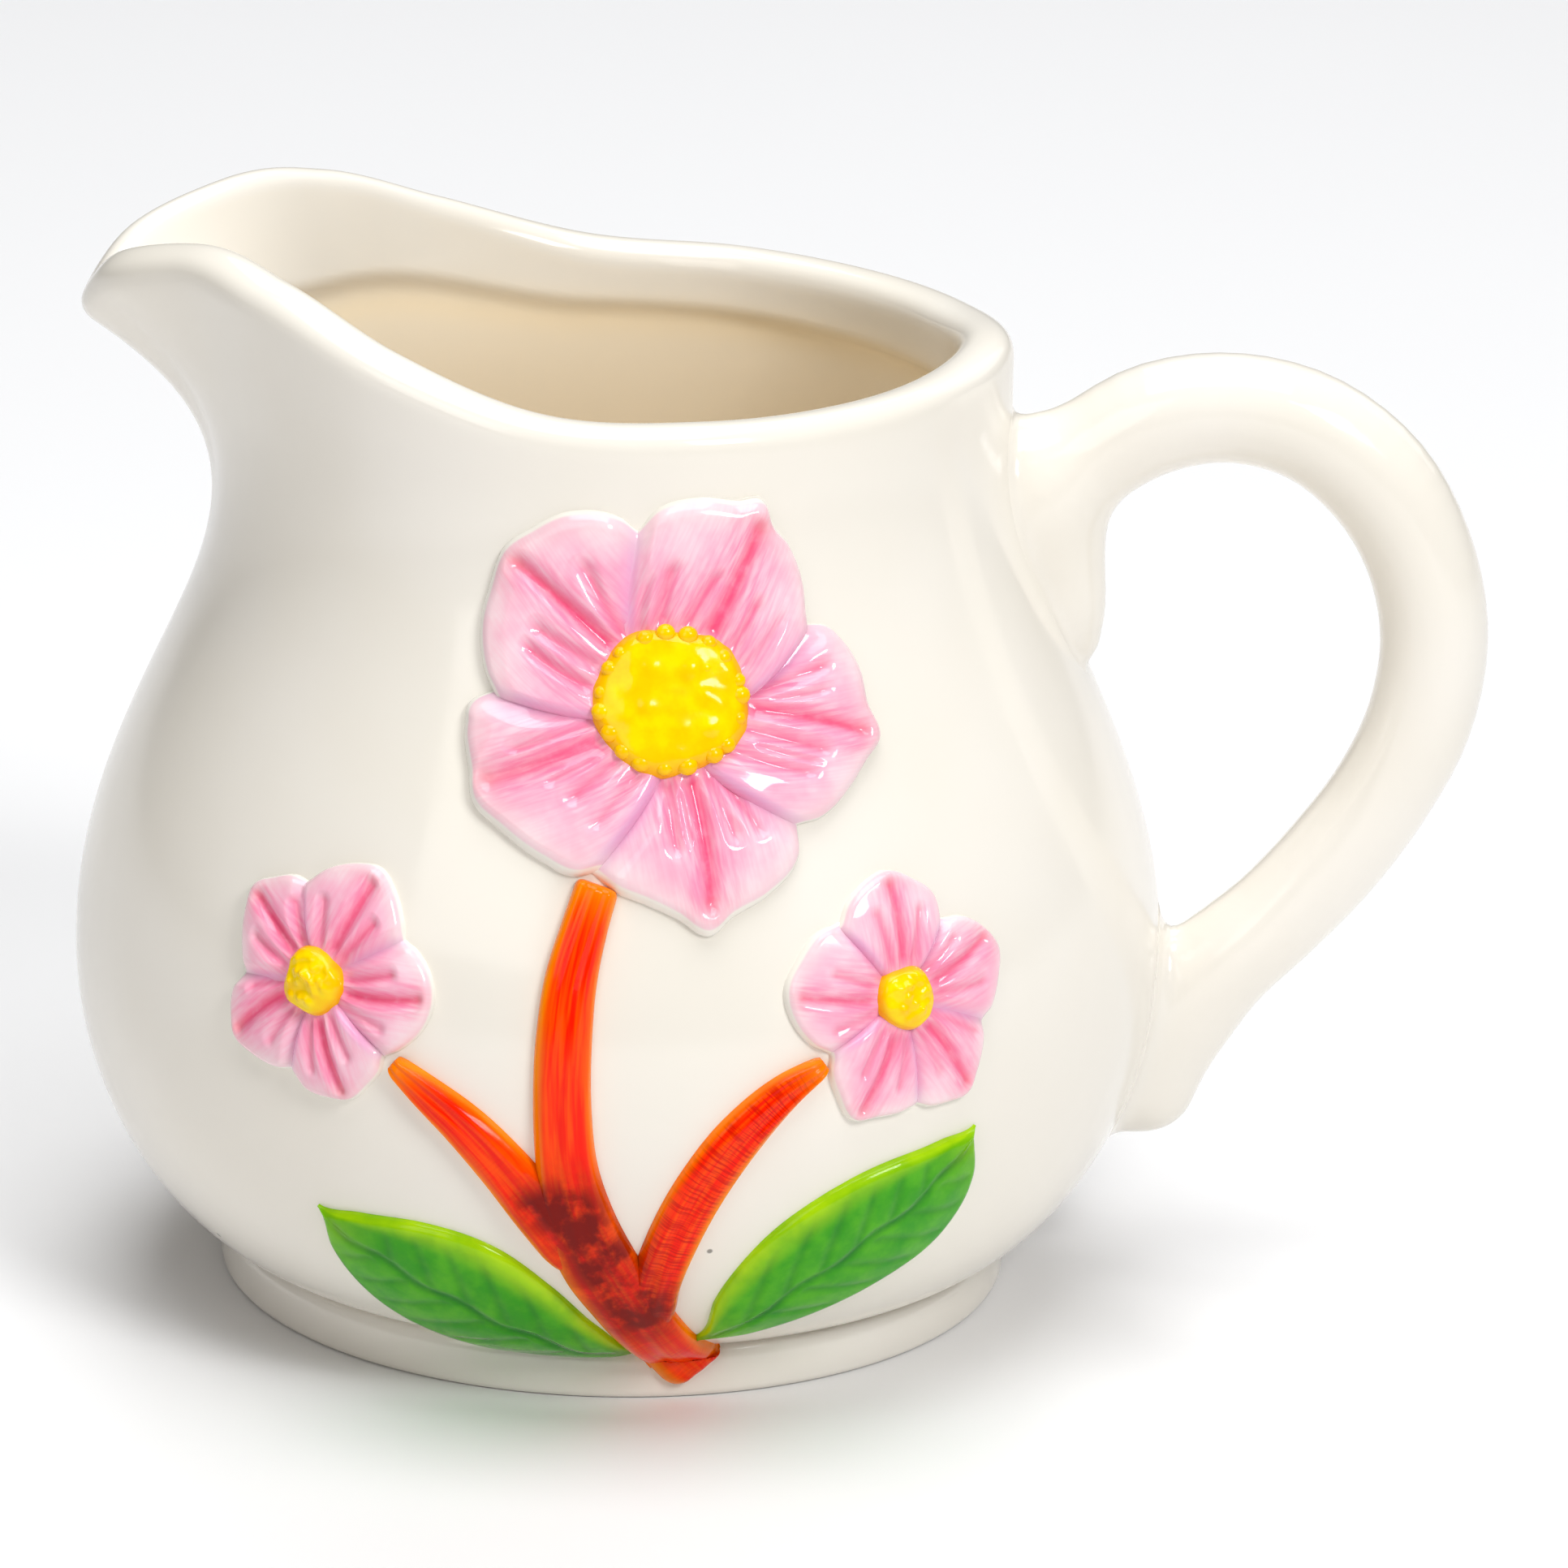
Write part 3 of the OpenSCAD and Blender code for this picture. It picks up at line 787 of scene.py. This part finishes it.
LEFT_PETALS = [
    Petal([(109, 8), (118, 8.8), (130, 9.4), (141, 10), (152, 9.2), (165, 8.2), (187, 7.2)],
          [(138, 141, 3, 9.2, 0.5, 1.0), (120, 117, 3, 7, 0.42, 0.6), (163, 158, 3, 7, 0.42, 0.6)]),
    Petal([(32, 8.5), (42, 9.1), (55, 10.0), (69, 10.7), (80, 10.1), (95, 9.1), (109, 8)],
          [(64, 66, 3, 9.8, 0.5, 0.9), (88, 92, 3, 7, 0.4, 0.5), (46, 50, 3, 7.6, 0.45, 0.75)], (0, 1)),
    Petal([(-37, 8.3), (-28, 9), (-14, 10), (3, 10.4), (14, 10), (25, 9.2), (32, 8.5)],
          [(-7, 1, 3, 9.8, 0.45, 1.0), (12, 14, 3, 7.5, 0.42, 0.7), (-24, -22, 3, 7.4, 0.4, 0.45)]),
    Petal([(-101, 7.7), (-90, 8.9), (-78, 9.4), (-66, 9.8), (-55, 9.3), (-45, 8.9), (-37, 8.2)],
          [(-73, -68, 3, 9.4, 0.42, 1.0), (-88, -84, 3, 7.4, 0.36, 0.5),
           (-53, -55, 3, 7, 0.36, 0.5)], (1, 1)),
    Petal([(-173, 7.2), (-163, 8.4), (-151, 9.2), (-140, 9.7), (-128, 9.1), (-114, 8.4), (-101, 7.6)],
          [(-150, -143, 3, 9.2, 0.6, 1.0), (-168, -164, 3, 6.4, 0.38, 0.5),
           (-125, -122, 3, 6.8, 0.36, 0.4)]),
]
RIGHT_PETALS = [
    Petal([(52, 7), (62, 8.8), (75, 9.6), (90, 10.3), (103, 9.8), (116, 9), (128, 8)],
          [(87, 91, 3, 9.6, 0.42, 0.8), (106, 104, 3, 7.6, 0.4, 0.5), (70, 72, 3, 7.6, 0.38, 0.5)], (1, 1)),
    Petal([(-22, 8.5), (-14, 9), (0, 9.7), (13, 10.4), (25, 9.8), (38, 8.8), (52, 7.2)],
          [(18, 23, 3, 9.4, 0.55, 0.8), (-2, 1, 3, 8, 0.42, 0.5), (38, 38, 3, 7, 0.36, 0.4)]),
    Petal([(-84, 8.9), (-76, 9.6), (-66, 10.2), (-57, 10.8), (-47, 10.1), (-34, 9.2), (-22, 8.4)],
          [(-50, -54, 3, 10, 0.5, 0.9), (-32, -30, 3, 8, 0.4, 0.5), (-66, -66, 3, 7.5, 0.36, 0.4)]),
    Petal([(-150, 7.4), (-142, 8.4), (-130, 9.4), (-117, 10.5), (-106, 9.8), (-95, 9.4), (-84, 8.9)],
          [(-112, -116, 3, 10, 0.42, 0.85), (-132, -126, 3, 7.4, 0.36, 0.45),
           (-93, -98, 3, 7.6, 0.36, 0.45)], (1, 1)),
    Petal([(128, 8.2), (138, 9), (155, 9.6), (171, 10.2), (185, 9.6), (198, 8.6), (210, 7.4)],
          [(176, 173, 3, 9.4, 0.45, 0.75), (155, 157, 3, 7, 0.4, 0.45), (196, 196, 3, 7, 0.4, 0.45)]),
]
LARGE_AT, LEFT_AT, RIGHT_AT = (8.9, 61.3), (-29.1, 37.9), (33.3, 37.8)
LARGE_HUB, SMALL_HUB = 6.1, 2.6
# Flowers: name, petals, place, radius under the centre, setting that holds the height, scale of the edges
FLOWERS = [
    ("large", LARGE_PETALS, LARGE_AT, LARGE_HUB, "petal_h", 1.0),
    ("left", LEFT_PETALS, LEFT_AT, SMALL_HUB, "small_petal_h", 0.6),
    ("right", RIGHT_PETALS, RIGHT_AT, SMALL_HUB, "small_petal_h", 0.6),
]
BEADS = [("large_beads", LARGE_AT, 5.45, 1.65)]   # node, place, radius of the ring, height it stands on
# Flower centres: node, place, radius, height, lumps and seed
CENTRES = [
    ("large_centre", LARGE_AT, 6.3, 2.2, 0.6, 1),
    ("left_centre", LEFT_AT, 2.75, 1.95, 1.0, 2),
    ("right_centre", RIGHT_AT, 2.6, 1.95, 0.8, 3),
]


def petal_piece(name, petal, at, hub, height, scale):
    """A fluted, pillowed petal laid on the pot. scale shrinks the edge widths of the small flowers."""
    rows, columns = int(90 * scale) + 24, int(110 * scale) + 24
    first, last = petal.outline[0][0], petal.outline[-1][0]
    lap = 0.5 * scale        # how far an upper side reaches over
    tuck = 0.5               # how far the petal runs in under the centre
    skirt = 0.2              # how far its edge runs on into the wall
    part = np.linspace(0, 1, columns)[None, :]
    outer = first + (last - first) * part
    # the bare brim outside the paint is widest at the flower's lower left
    brim = 0.1 + 0.45 * scale ** 2 * smooth(0.4 + 0.9 * np.cos(np.radians(outer - 212)))
    paint = through(petal.outline, outer)
    rim = paint + brim
    share = np.linspace(0, 1, rows)[:, None] ** 0.8
    reach = (hub - tuck) + (rim + skirt - hub + tuck) * share
    inwards = np.clip(1 - (reach - hub) / (paint - hub), 0, 1) ** 1.3
    start, stop = first + petal.swirl[0] * inwards, last + petal.swirl[1] * inwards
    widen = np.degrees(lap / reach) * (2 * part - 1) ** 5
    turn = start + (stop - start) * part + widen
    t = np.radians(turn)
    # distances in from the outer edge, from the edge of the paint and from the two sides
    to_rim, to_bare = rim - reach, paint - reach
    to_first, to_last = reach * np.radians(turn - start), reach * np.radians(stop - turn)
    shape = 0.66 + 0.34 * np.sin(math.pi * np.clip((reach - hub) / (rim - hub), 0, 1) ** 0.85)
    paint_line, flute, wash = np.zeros_like(reach), np.zeros_like(reach), np.zeros_like(reach)
    for from_turn, end_turn, begin, end, width, strength in petal.grooves:
        run = np.clip((reach - begin) / (end - begin), 0, 1)
        off = reach * np.radians(turn - (from_turn + (end_turn - from_turn) * run))
        fade = smooth((reach - begin + 1) / 1.5) * smooth((end - reach) / (1.6 * scale) + 0.4)
        paint_line = np.maximum(paint_line, bell(off, width * (1.25 - 0.55 * run)) * fade * strength)
        flute = np.maximum(flute, bell(off, width * 1.25) * fade * (0.35 + 0.65 * strength))
        wash = np.maximum(wash, bell(off, width * 3.0) * fade * strength)
    # the main groove ends in a small blot at the petal's tip
    _, tip_turn, _, tip_end, _, tip_strength = petal.grooves[0]
    tip_off = np.hypot(reach * np.radians(turn - tip_turn), reach - tip_end + 0.4 * scale)
    tip_blot = bell(tip_off, 1.0 * scale) * tip_strength * 0.4
    shape = (shape + 0.1 * bell(tip_off, 1.6 * scale)) * (1 - 0.45 * flute) * dome(to_rim, 1.3 * scale)
    for distance, over in ((to_first, petal.over[0]), (to_last, petal.over[1])):
        if over:
            shape = shape * dome(distance + lap, 1.2 * scale)
        else:
            shape = shape * (0.4 + 0.6 * smooth((distance + 0.2) / (2.4 * scale)))
    lift = np.where(to_rim > 0, shape * height, SINK)
    sides = np.maximum(bell(to_first, 0.7 * scale), bell(to_last, 0.7 * scale))
    washed = (0.2 + wash * 0.8 + 0.5 * bell(reach - hub, 5.5 * scale)
              + 0.6 * bell(tip_off, 2.4 * scale))
    # Lilac mask: purple outline paint at the sides and paint edge, plus painted shade in the valleys and in
    # the grooves near the centre
    valley = (0.8 * sides + 0.2 * bell(to_bare, 0.5 * scale)
              + 0.3 * flute * bell(reach - hub, 5 * scale))
    bare = smooth(0.5 - to_bare / (0.35 * scale)) + 0.4 * bell(to_bare, 1.9 * scale)
    masks = {
        "line": np.clip(0.85 * paint_line ** 1.3 + tip_blot, 0, 0.9),
        "wash": np.clip(washed, 0, 1),
        "lilac": np.clip(valley, 0, 0.9),
        "bare": np.clip(bare, 0, 1),
        "along": reach,
        "across": reach * np.radians(turn - (start + stop) / 2),
    }
    angle, z = unroll(at, reach * np.cos(t), reach * np.sin(t))
    return laid_solid(name, angle, z, lift, masks, sharp=50, flip=True)


def dome_piece(name, at, radius, height, lumps, seed):
    """A round cushion for a flower's middle, with small bumps and a darker rim."""
    rows, columns, over, small_bumps = 40, 72, 1.03, 34
    share = np.linspace(0, 1, rows)[:, None]
    turn = np.linspace(0, 2 * math.pi, columns + 1)[None, :-1]
    rng = np.random.default_rng(seed)
    waves = sum(rng.uniform(0.3, 1) * np.cos(k * turn + rng.uniform(0, 6.3)) for k in (2, 3, 4, 5))
    reach = radius * (1 + lumps * 0.05 * waves) * share * over
    a, b = reach * np.cos(turn), reach * np.sin(turn)
    bumps = sum(rng.uniform(0.3, 1) * bell(np.hypot(a - x, b - y), radius * 0.12)
                for x, y in rng.uniform(-0.8, 0.8, (small_bumps, 2)) * radius)
    cushion = (0.55 + 0.45 * np.sqrt(np.clip(1 - share ** 2, 0, 1))) * dome(1 - share, 0.22)
    lift = height * cushion + 0.4 * lumps * bumps * (1 - share ** 3)
    lift = np.where(share * over >= 1, SINK, lift)
    angle, z = unroll(at, a, b)
    top = stand_off(angle, z, lift).reshape(-1, 3)
    under = stand_off(angle[-1], z[-1], np.full(columns, UNDER))
    # the first ring is one point, so its spare points go and a fan closes it
    points = np.concatenate([top[:1], top[columns:], under])
    ring = 1 + (rows - 2) * columns + np.arange(columns)
    sides = np.stack([ring, np.roll(ring, -1), np.roll(ring, -1) + columns, ring + columns], axis=-1)
    faces = grid_faces(rows - 1, columns, closed=True, start=1)[:, ::-1].tolist()
    faces += sides[:, ::-1].tolist() + [(ring + columns).tolist()]
    faces += fans(list(range(1, columns + 1)), 0)
    # Amber towards the edge of the centre: orange paint together with painted shade where the cushion
    # curves down to the pot
    shade = np.repeat(smooth((share - 0.72) / 0.3), columns)[columns - 1:]
    return build_mesh(name, points, faces, {"rim": np.concatenate([shade, np.ones(columns)])})


def beads_piece(name, at, ring_r, floor, seed=4):
    """Small beads in a ring round the large centre, with a few scattered inside."""
    rng = np.random.default_rng(seed)
    spots = []

    def scatter(count, sway, radius, spread, sizes, sink):
        for i in range(count):
            t = 2 * math.pi * (i + rng.uniform(-sway, sway)) / count
            r = radius + rng.uniform(-spread, spread)
            spots.append((r * math.cos(t), r * math.sin(t), rng.uniform(*sizes), sink))

    scatter(19, 0.18, ring_r, 0.15, (0.58, 0.82), 0.84)
    scatter(8, 0.3, 3.2, 0.6, (0.45, 0.7), 1.0)
    rows, columns, flat = 9, 16, 0.75
    v = (math.pi * np.arange(1, rows) / rows)[:, None]
    t = (2 * math.pi * np.arange(columns) / columns)[None, :]
    points, faces, rim = [], [], []
    for a0, b0, size, sink in spots:
        start = len(points)
        middle, tall = floor * sink, size * flat
        angle, z = unroll(at, a0 + size * np.sin(v) * np.cos(t), b0 + size * np.sin(v) * np.sin(t))
        points += stand_off(angle, z, middle + tall * np.cos(v)).reshape(-1, 3).tolist()
        top_angle, top_z = unroll(at, a0, b0)
        points += [stand_off(top_angle, top_z, middle + tall), stand_off(top_angle, top_z, middle - tall)]
        up, down = len(points) - 2, len(points) - 1
        low = start + (rows - 2) * columns
        faces += grid_faces(rows - 1, columns, closed=True, start=start)[:, ::-1].tolist()
        faces += fans(list(range(start, start + columns)), up)
        faces += fans(list(range(low, low + columns)), down, flip=True)
        # The ring beads take part of the rim's amber: orange paint with painted shade among the beads
        rim += [0.35 if sink < 1 else 0.0] * (len(points) - start)
    return build_mesh(name, np.array(points), faces, {"rim": np.array(rim)})


# Stems on the front view: (across, height, half width)
LONG_STEM = [
    (0.5, 47.9, 1.75), (-0.4, 44.8, 1.85), (-1.4, 40.5, 2.1), (-1.8, 36, 2.25), (-1.8, 30, 2.35),
    (-1.35, 25, 2.5), (-0.4, 20.5, 2.9), (1.2, 16, 3.2), (3.3, 12, 3.1), (5.2, 8.2, 2.9),
    (7.0, 5, 2.8), (9.0, 2.6, 2.7),
]
LEFT_STEM = [
    (-15.6, 32.6, 0.8), (-13.2, 30.8, 1.35), (-9.6, 28, 1.9), (-6.4, 24.7, 2.2),
    (-3.4, 20.8, 2.4), (0, 16, 2.4),
]
RIGHT_STEM = [
    (19, 33.4, 0.75), (16, 31.4, 1.45), (12.6, 28, 1.95), (9.6, 23.6, 2.1),
    (7.2, 18.4, 2.1), (5.8, 13.5, 2.0), (5.6, 9.5, 1.8),
]
# Dark blots where the stems fork: (across, height, size, strength)
FORK_BLOTS = [(-0.9, 21.5, 3.0, 1.3), (1.6, 17.0, 3.0, 1.2), (4.4, 12.2, 3.4, 1.3), (-4.2, 22.3, 1.8, 0.6)]
FORK = 0.6   # share of the long line at which the middle stem becomes the trunk
# Stems: node, line, share of the height, start and end on the line, blunt ends, lit side, cross-hatching
STEMS = [
    ("middle_stem", LONG_STEM, 1.0, 0.0, FORK, (0.7, 1.6), -1, 0.0),
    ("trunk", LONG_STEM, 1.0, FORK, 1.0, (0.7, 1.6), -1, 0.25),
    ("left_stem", LEFT_STEM, 0.93, 0.0, 1.0, (1.0, 3.0), -1, 0.1),
    ("right_stem", RIGHT_STEM, 0.93, 0.0, 1.0, (1.2, 3.0), 1, 0.8),
]


def ribbon(line, rows, columns):
    """Along a painted line: its middle, the way to its side, the length so far and the share across."""
    centre = path(line, rows)
    way = np.gradient(centre[:, :2], axis=0)
    way /= np.linalg.norm(way, axis=1, keepdims=True)
    side = np.stack([-way[:, 1], way[:, 0]], axis=-1)
    along = lengths(centre)[:, None]
    across = np.sin(np.linspace(-math.pi / 2, math.pi / 2, columns))[None, :]
    return centre, side, along, across


def beside(centre, side, reach):
    """Front-view spots that lie reach to the side of a line."""
    return [centre[:, i, None] + side[:, i, None] * reach for i in (0, 1)]


def stem_piece(name, line, height_share, from_share, to_share, blunt, lit_side, hatch):
    """A rounded brush-painted stem. from_share and to_share cut it out of the whole line."""
    samples, over = 260, 1.06
    height = mm("jug_relief", "stem_h") * height_share
    centre, side, along, across = ribbon(line, samples, 46)
    start_cap, end_cap = (np.sqrt(np.clip(1 - np.clip(1 - gap / size, 0, 1) ** 2, 0, 1))
                          for gap, size in zip((along, along[-1] - along), blunt))
    half = centre[:, 2:] * (0.72 + 0.28 * start_cap) * (0.6 + 0.4 * end_cap)
    x, z = beside(centre, side, half * across * over)
    beyond = np.abs(across) * over
    ridge = 0.06 * np.cos(across * 9 + along * 0.25)
    lift = height * (0.3 + 0.7 * start_cap * end_cap) * (dome(1 - beyond, 0.55) * (1 + ridge))
    lift = np.where((beyond >= 1) | (start_cap < 0.05) | (end_cap < 0.05), SINK, lift)
    blots = sum(strength * bell(np.hypot(x - dx, z - dz), reach) for dx, dz, reach, strength in FORK_BLOTS)
    dark = np.clip(blots, 0, 1)
    lit = smooth((across * lit_side - 0.45) / 0.4) * 0.9 + bell(along, 2.2) * 0.75
    lit = lit + bell(np.abs(across) - 0.98, 0.16) * 0.85
    masks = {
        "along": along,
        "across": across * 2.2,
        "dark": dark,
        "lit": np.clip(lit, 0, 1) * (1 - dark * 0.7),
        "hatch": hatch,
    }
    keep = slice(round(from_share * (samples - 1)), round(to_share * (samples - 1)) + 1)
    angle, height_z = on_front(x, z)
    return laid_solid(name, angle, height_z, lift, masks, sharp=60, keep=keep)


# Leaves: midrib from base to tip on a view turned to face the leaf, and the half widths above and below it.
LEFT_LEAF = [(4.2, 4.6), (-1.5, 6.8), (-5.4, 8.8), (-11.2, 12), (-16.5, 15), (-22, 18.2)]
LEFT_UPPER = [(0, 0.2), (0.15, 2.6), (0.35, 5.2), (0.55, 6.2), (0.75, 4.6), (0.9, 1.9), (1, 0.05)]
LEFT_LOWER = [(0, 0.2), (0.15, 2.6), (0.35, 5.0), (0.55, 5.9), (0.75, 5.0), (0.9, 2.7), (1, 0.05)]
RIGHT_LEAF = [(-9, 6.9), (-5.4, 11), (-1.6, 14.6), (2.8, 18), (7.6, 21.7), (11.6, 25.6)]
RIGHT_UPPER = [(0, 0.2), (0.12, 3.4), (0.3, 5.8), (0.5, 6.1), (0.75, 4.2), (0.9, 1.9), (1, 0.05)]
RIGHT_LOWER = [(0, 0.2), (0.12, 2.6), (0.3, 4.9), (0.5, 6.0), (0.75, 5.7), (0.9, 3.2), (1, 0.05)]
# Leaves: node, midrib, half widths, degrees that the view is turned, side on which the upper edge lies
LEAVES = [
    ("left_leaf", LEFT_LEAF, LEFT_UPPER, LEFT_LOWER, 0, -1),
    ("right_leaf", RIGHT_LEAF, RIGHT_UPPER, RIGHT_LOWER, 28, 1),
]


def leaf_piece(name, line, upper, lower, turn, upper_side):
    """A pillowed leaf with a sunken midrib and side veins."""
    rows, veins, over = 150, 6, 1.03
    centre, side, along, across = ribbon(line, rows, 90)
    length = along[-1, 0]
    share = np.linspace(0, 1, rows)[:, None]
    along = share * length
    half = np.where(across > 0, through(upper, share), through(lower, share))
    x, z = beside(centre, side * upper_side, half * across * over)
    z = np.maximum(z, pot("foot_h") + 0.25)
    rim = (1 - np.abs(across) * over) * half
    lift = mm("jug_relief", "leaf_h") * (0.75 + 0.25 * smooth(rim / 3.5)) * dome(rim, 1.0)
    wobble = 0.25 * np.sin(along * 0.9)
    vein = bell(across * half - wobble, 0.35) * smooth((1 - share) * 12)
    for k in range(veins):
        root = length * (0.14 + 0.72 * k / veins)
        for way, shift in ((1, 0.0), (-1, length * 0.05)):
            out = across * half * way
            middle = root + shift + out * 0.95 + 0.03 * out ** 2
            strength = smooth(out / 0.6) * smooth((rim - 0.5) / 1.5)
            vein = np.maximum(vein, 0.55 * bell(along - middle, 0.55) * strength)
    lift = np.where(rim <= 0, SINK, lift * (1 - 0.16 * vein))
    lit = smooth((across - 0.55) / 0.4) * 0.9 + 0.3 * bell(rim, 0.35)
    lit = lit + 0.45 * bell(share - 1, 0.12) + 0.3 * bell(share, 0.1)
    angle, height_z = on_front(x, z)
    masks = {"vein": vein, "lit": np.clip(lit, 0, 1)}
    return laid_solid(name, angle + turn, height_z, lift, masks, sharp=60, flip=upper_side < 0)


# ---------------- stage

CAMERA_AT = Vector((34.9, -665.1, 260.5)) * MM
CAMERA_WAY = Vector((-0.0301, 0.9501, -0.3105))
CAMERA_ROLL = math.radians(1.573)
LENS, SENSOR = 188.9, 36.0
TABLE_HALF = 6000.0
# Soft lights: name, place, aim, size, power and tint. They face the jug, or the table behind it.
BELLY_MIDDLE = (0, 0, 0.045)
LIGHTS = [
    ("key", (0.55, -0.68, 0.72), BELLY_MIDDLE, (0.32, 0.32), 6.1, (1, 1, 1)),
    ("window", (-0.50, -0.93, 0.62), BELLY_MIDDLE, (0.6, 0.7), 2.5, (1.0, 0.96, 0.91)),
    ("back_right", (0.7, 0.8, 0.6), BELLY_MIDDLE, (0.6, 0.6), 0.8, (1.0, 0.98, 1.0)),
    ("top", (0.0, -0.1, 1.1), (0, 0, 0), (0.8, 0.8), 9.2, (0.99, 1.0, 1.0)),
    ("backdrop", (0.0, 0.8, 1.0), (0, 0.5, 0), (0.7, 0.5), 5.2, (1, 1, 1)),
]
SKY, SKY_STRENGTH = (0.97, 0.98, 1.0, 1.0), 0.05
TABLE_GREY, TABLE_WHITE = (0.85, 0.85, 0.86, 1.0), (0.87, 0.87, 0.88, 1.0)


def soft_box(name, at, aim, size, power, tint):
    light = bpy.data.lights.new(name, "AREA")
    light.shape = "RECTANGLE"
    light.size, light.size_y = size
    light.energy = power
    light.color = tint
    lamp = bpy.data.objects.new(name, light)
    lamp.location = at
    lamp.rotation_euler = (Vector(aim) - Vector(at)).to_track_quat("-Z", "Y").to_euler()
    bpy.context.scene.collection.objects.link(lamp)


def table_material():
    g = Glaze("table_white", 0.6)
    return g.colour(g.mix(g.noise(3.0, 3.0), TABLE_GREY, TABLE_WHITE))


def build_stage():
    scene = bpy.context.scene
    camera = bpy.data.cameras.new("camera")
    camera.lens = LENS
    camera.sensor_width = SENSOR
    camera.clip_end = 20.0
    viewer = bpy.data.objects.new("camera", camera)
    back = -CAMERA_WAY.normalized()
    right = Vector((0, 0, 1)).cross(back).normalized()
    upward = back.cross(right)
    turn = Matrix((right, upward, back)).transposed().to_4x4()
    viewer.matrix_world = Matrix.Translation(CAMERA_AT) @ turn @ Matrix.Rotation(CAMERA_ROLL, 4, "Z")
    scene.collection.objects.link(viewer)
    scene.camera = viewer
    scene.view_settings.view_transform = "Standard"

    wide = TABLE_HALF
    corners = [(-wide, -wide, 0), (wide, -wide, 0), (wide, wide, 0), (-wide, wide, 0)]
    floor = build_mesh("floor", corners, [[0, 1, 2, 3]])
    floor.data.materials.append(table_material())

    for light in LIGHTS:
        soft_box(*light)
    world = bpy.data.worlds.new("studio")
    world.use_nodes = True
    background = world.node_tree.nodes["Background"]
    background.inputs["Color"].default_value = SKY
    background.inputs["Strength"].default_value = SKY_STRENGTH
    scene.world = world


# ---------------- operators

class BuildOperator:
    """Shared by the operators below: build() makes the pieces."""

    bl_options = {"REGISTER", "UNDO"}

    def execute(self, context):
        self.build()
        return {"FINISHED"}


class JUG_OT_pot(BuildOperator, bpy.types.Operator):
    """Adds the pot with its foot ring, rim and spout"""
    bl_idname = "jug.pot"
    bl_label = "Pot"

    def build(self):
        finish_piece(pot_piece(), porcelain_glaze(), "porcelain", "body", "spout", "foot_ring")


class JUG_OT_handle(BuildOperator, bpy.types.Operator):
    """Adds the loop handle with its drop and soft roots"""
    bl_idname = "jug.handle"
    bl_label = "Handle"

    def build(self):
        finish_piece(handle_piece(), porcelain_glaze("handle_glaze"), "porcelain", "handle")


class JUG_OT_petals(BuildOperator, bpy.types.Operator):
    """Adds the petals of the three flowers"""
    bl_idname = "jug.petals"
    bl_label = "Petals"

    def build(self):
        material = petal_glaze()
        for flower, petals, at, hub, setting, scale in FLOWERS:
            height = mm("jug_relief", setting)
            rows = [(f"{flower}_petal_{i}", petal, at, hub, height, scale)
                    for i, petal in enumerate(petals, start=1)]
            add_pieces(petal_piece, rows, material, "pink_glaze")


class JUG_OT_centres(BuildOperator, bpy.types.Operator):
    """Adds the yellow centres and the beads on the large one"""
    bl_idname = "jug.centres"
    bl_label = "Flower centres"

    def build(self):
        material = yolk_glaze()
        add_pieces(dome_piece, CENTRES[:1], material, "yellow_glaze")
        add_pieces(beads_piece, BEADS, material, "bead_glaze")
        add_pieces(dome_piece, CENTRES[1:], material, "yellow_glaze")


class JUG_OT_stems(BuildOperator, bpy.types.Operator):
    """Adds the trunk and the three stems that fork from it"""
    bl_idname = "jug.stems"
    bl_label = "Stems"

    def build(self):
        add_pieces(stem_piece, STEMS, stem_glaze(), "coral_glaze")


class JUG_OT_leaves(BuildOperator, bpy.types.Operator):
    """Adds the two leaves"""
    bl_idname = "jug.leaves"
    bl_label = "Leaves"

    def build(self):
        add_pieces(leaf_piece, LEAVES, leaf_glaze(), "green_glaze")


class JUG_OT_stage(BuildOperator, bpy.types.Operator):
    """Adds the camera, the pale table and the soft lights"""
    bl_idname = "jug.stage"
    bl_label = "Stage"

    def build(self):
        build_stage()


OPERATORS = (JUG_OT_stage, JUG_OT_pot, JUG_OT_handle, JUG_OT_petals, JUG_OT_centres, JUG_OT_stems,
             JUG_OT_leaves)


class JUG_PT_panel(bpy.types.Panel):
    """Lists the steps that build the jug"""
    bl_idname = "JUG_PT_panel"
    bl_label = "Cream Jug"
    bl_space_type = "VIEW_3D"
    bl_region_type = "UI"
    bl_category = "Cream Jug"

    def draw(self, context):
        for group, settings in SETTINGS.items():
            box = self.layout.box()
            for name in settings.__annotations__:
                box.prop(getattr(context.scene, group), name)
        for operator in OPERATORS:
            self.layout.operator(operator.bl_idname)


CLASSES = tuple(SETTINGS.values()) + OPERATORS + (JUG_PT_panel,)


def register():
    for item in CLASSES:
        bpy.utils.register_class(item)
    for name, group in SETTINGS.items():
        setattr(bpy.types.Scene, name, bpy.props.PointerProperty(type=group))


def unregister():
    for name in SETTINGS:
        delattr(bpy.types.Scene, name)
    for item in reversed(CLASSES):
        bpy.utils.unregister_class(item)


def main():
    register()
    for operator in OPERATORS:
        getattr(bpy.ops.jug, operator.bl_idname.split(".")[1])()


if __name__ == "__main__":
    main()
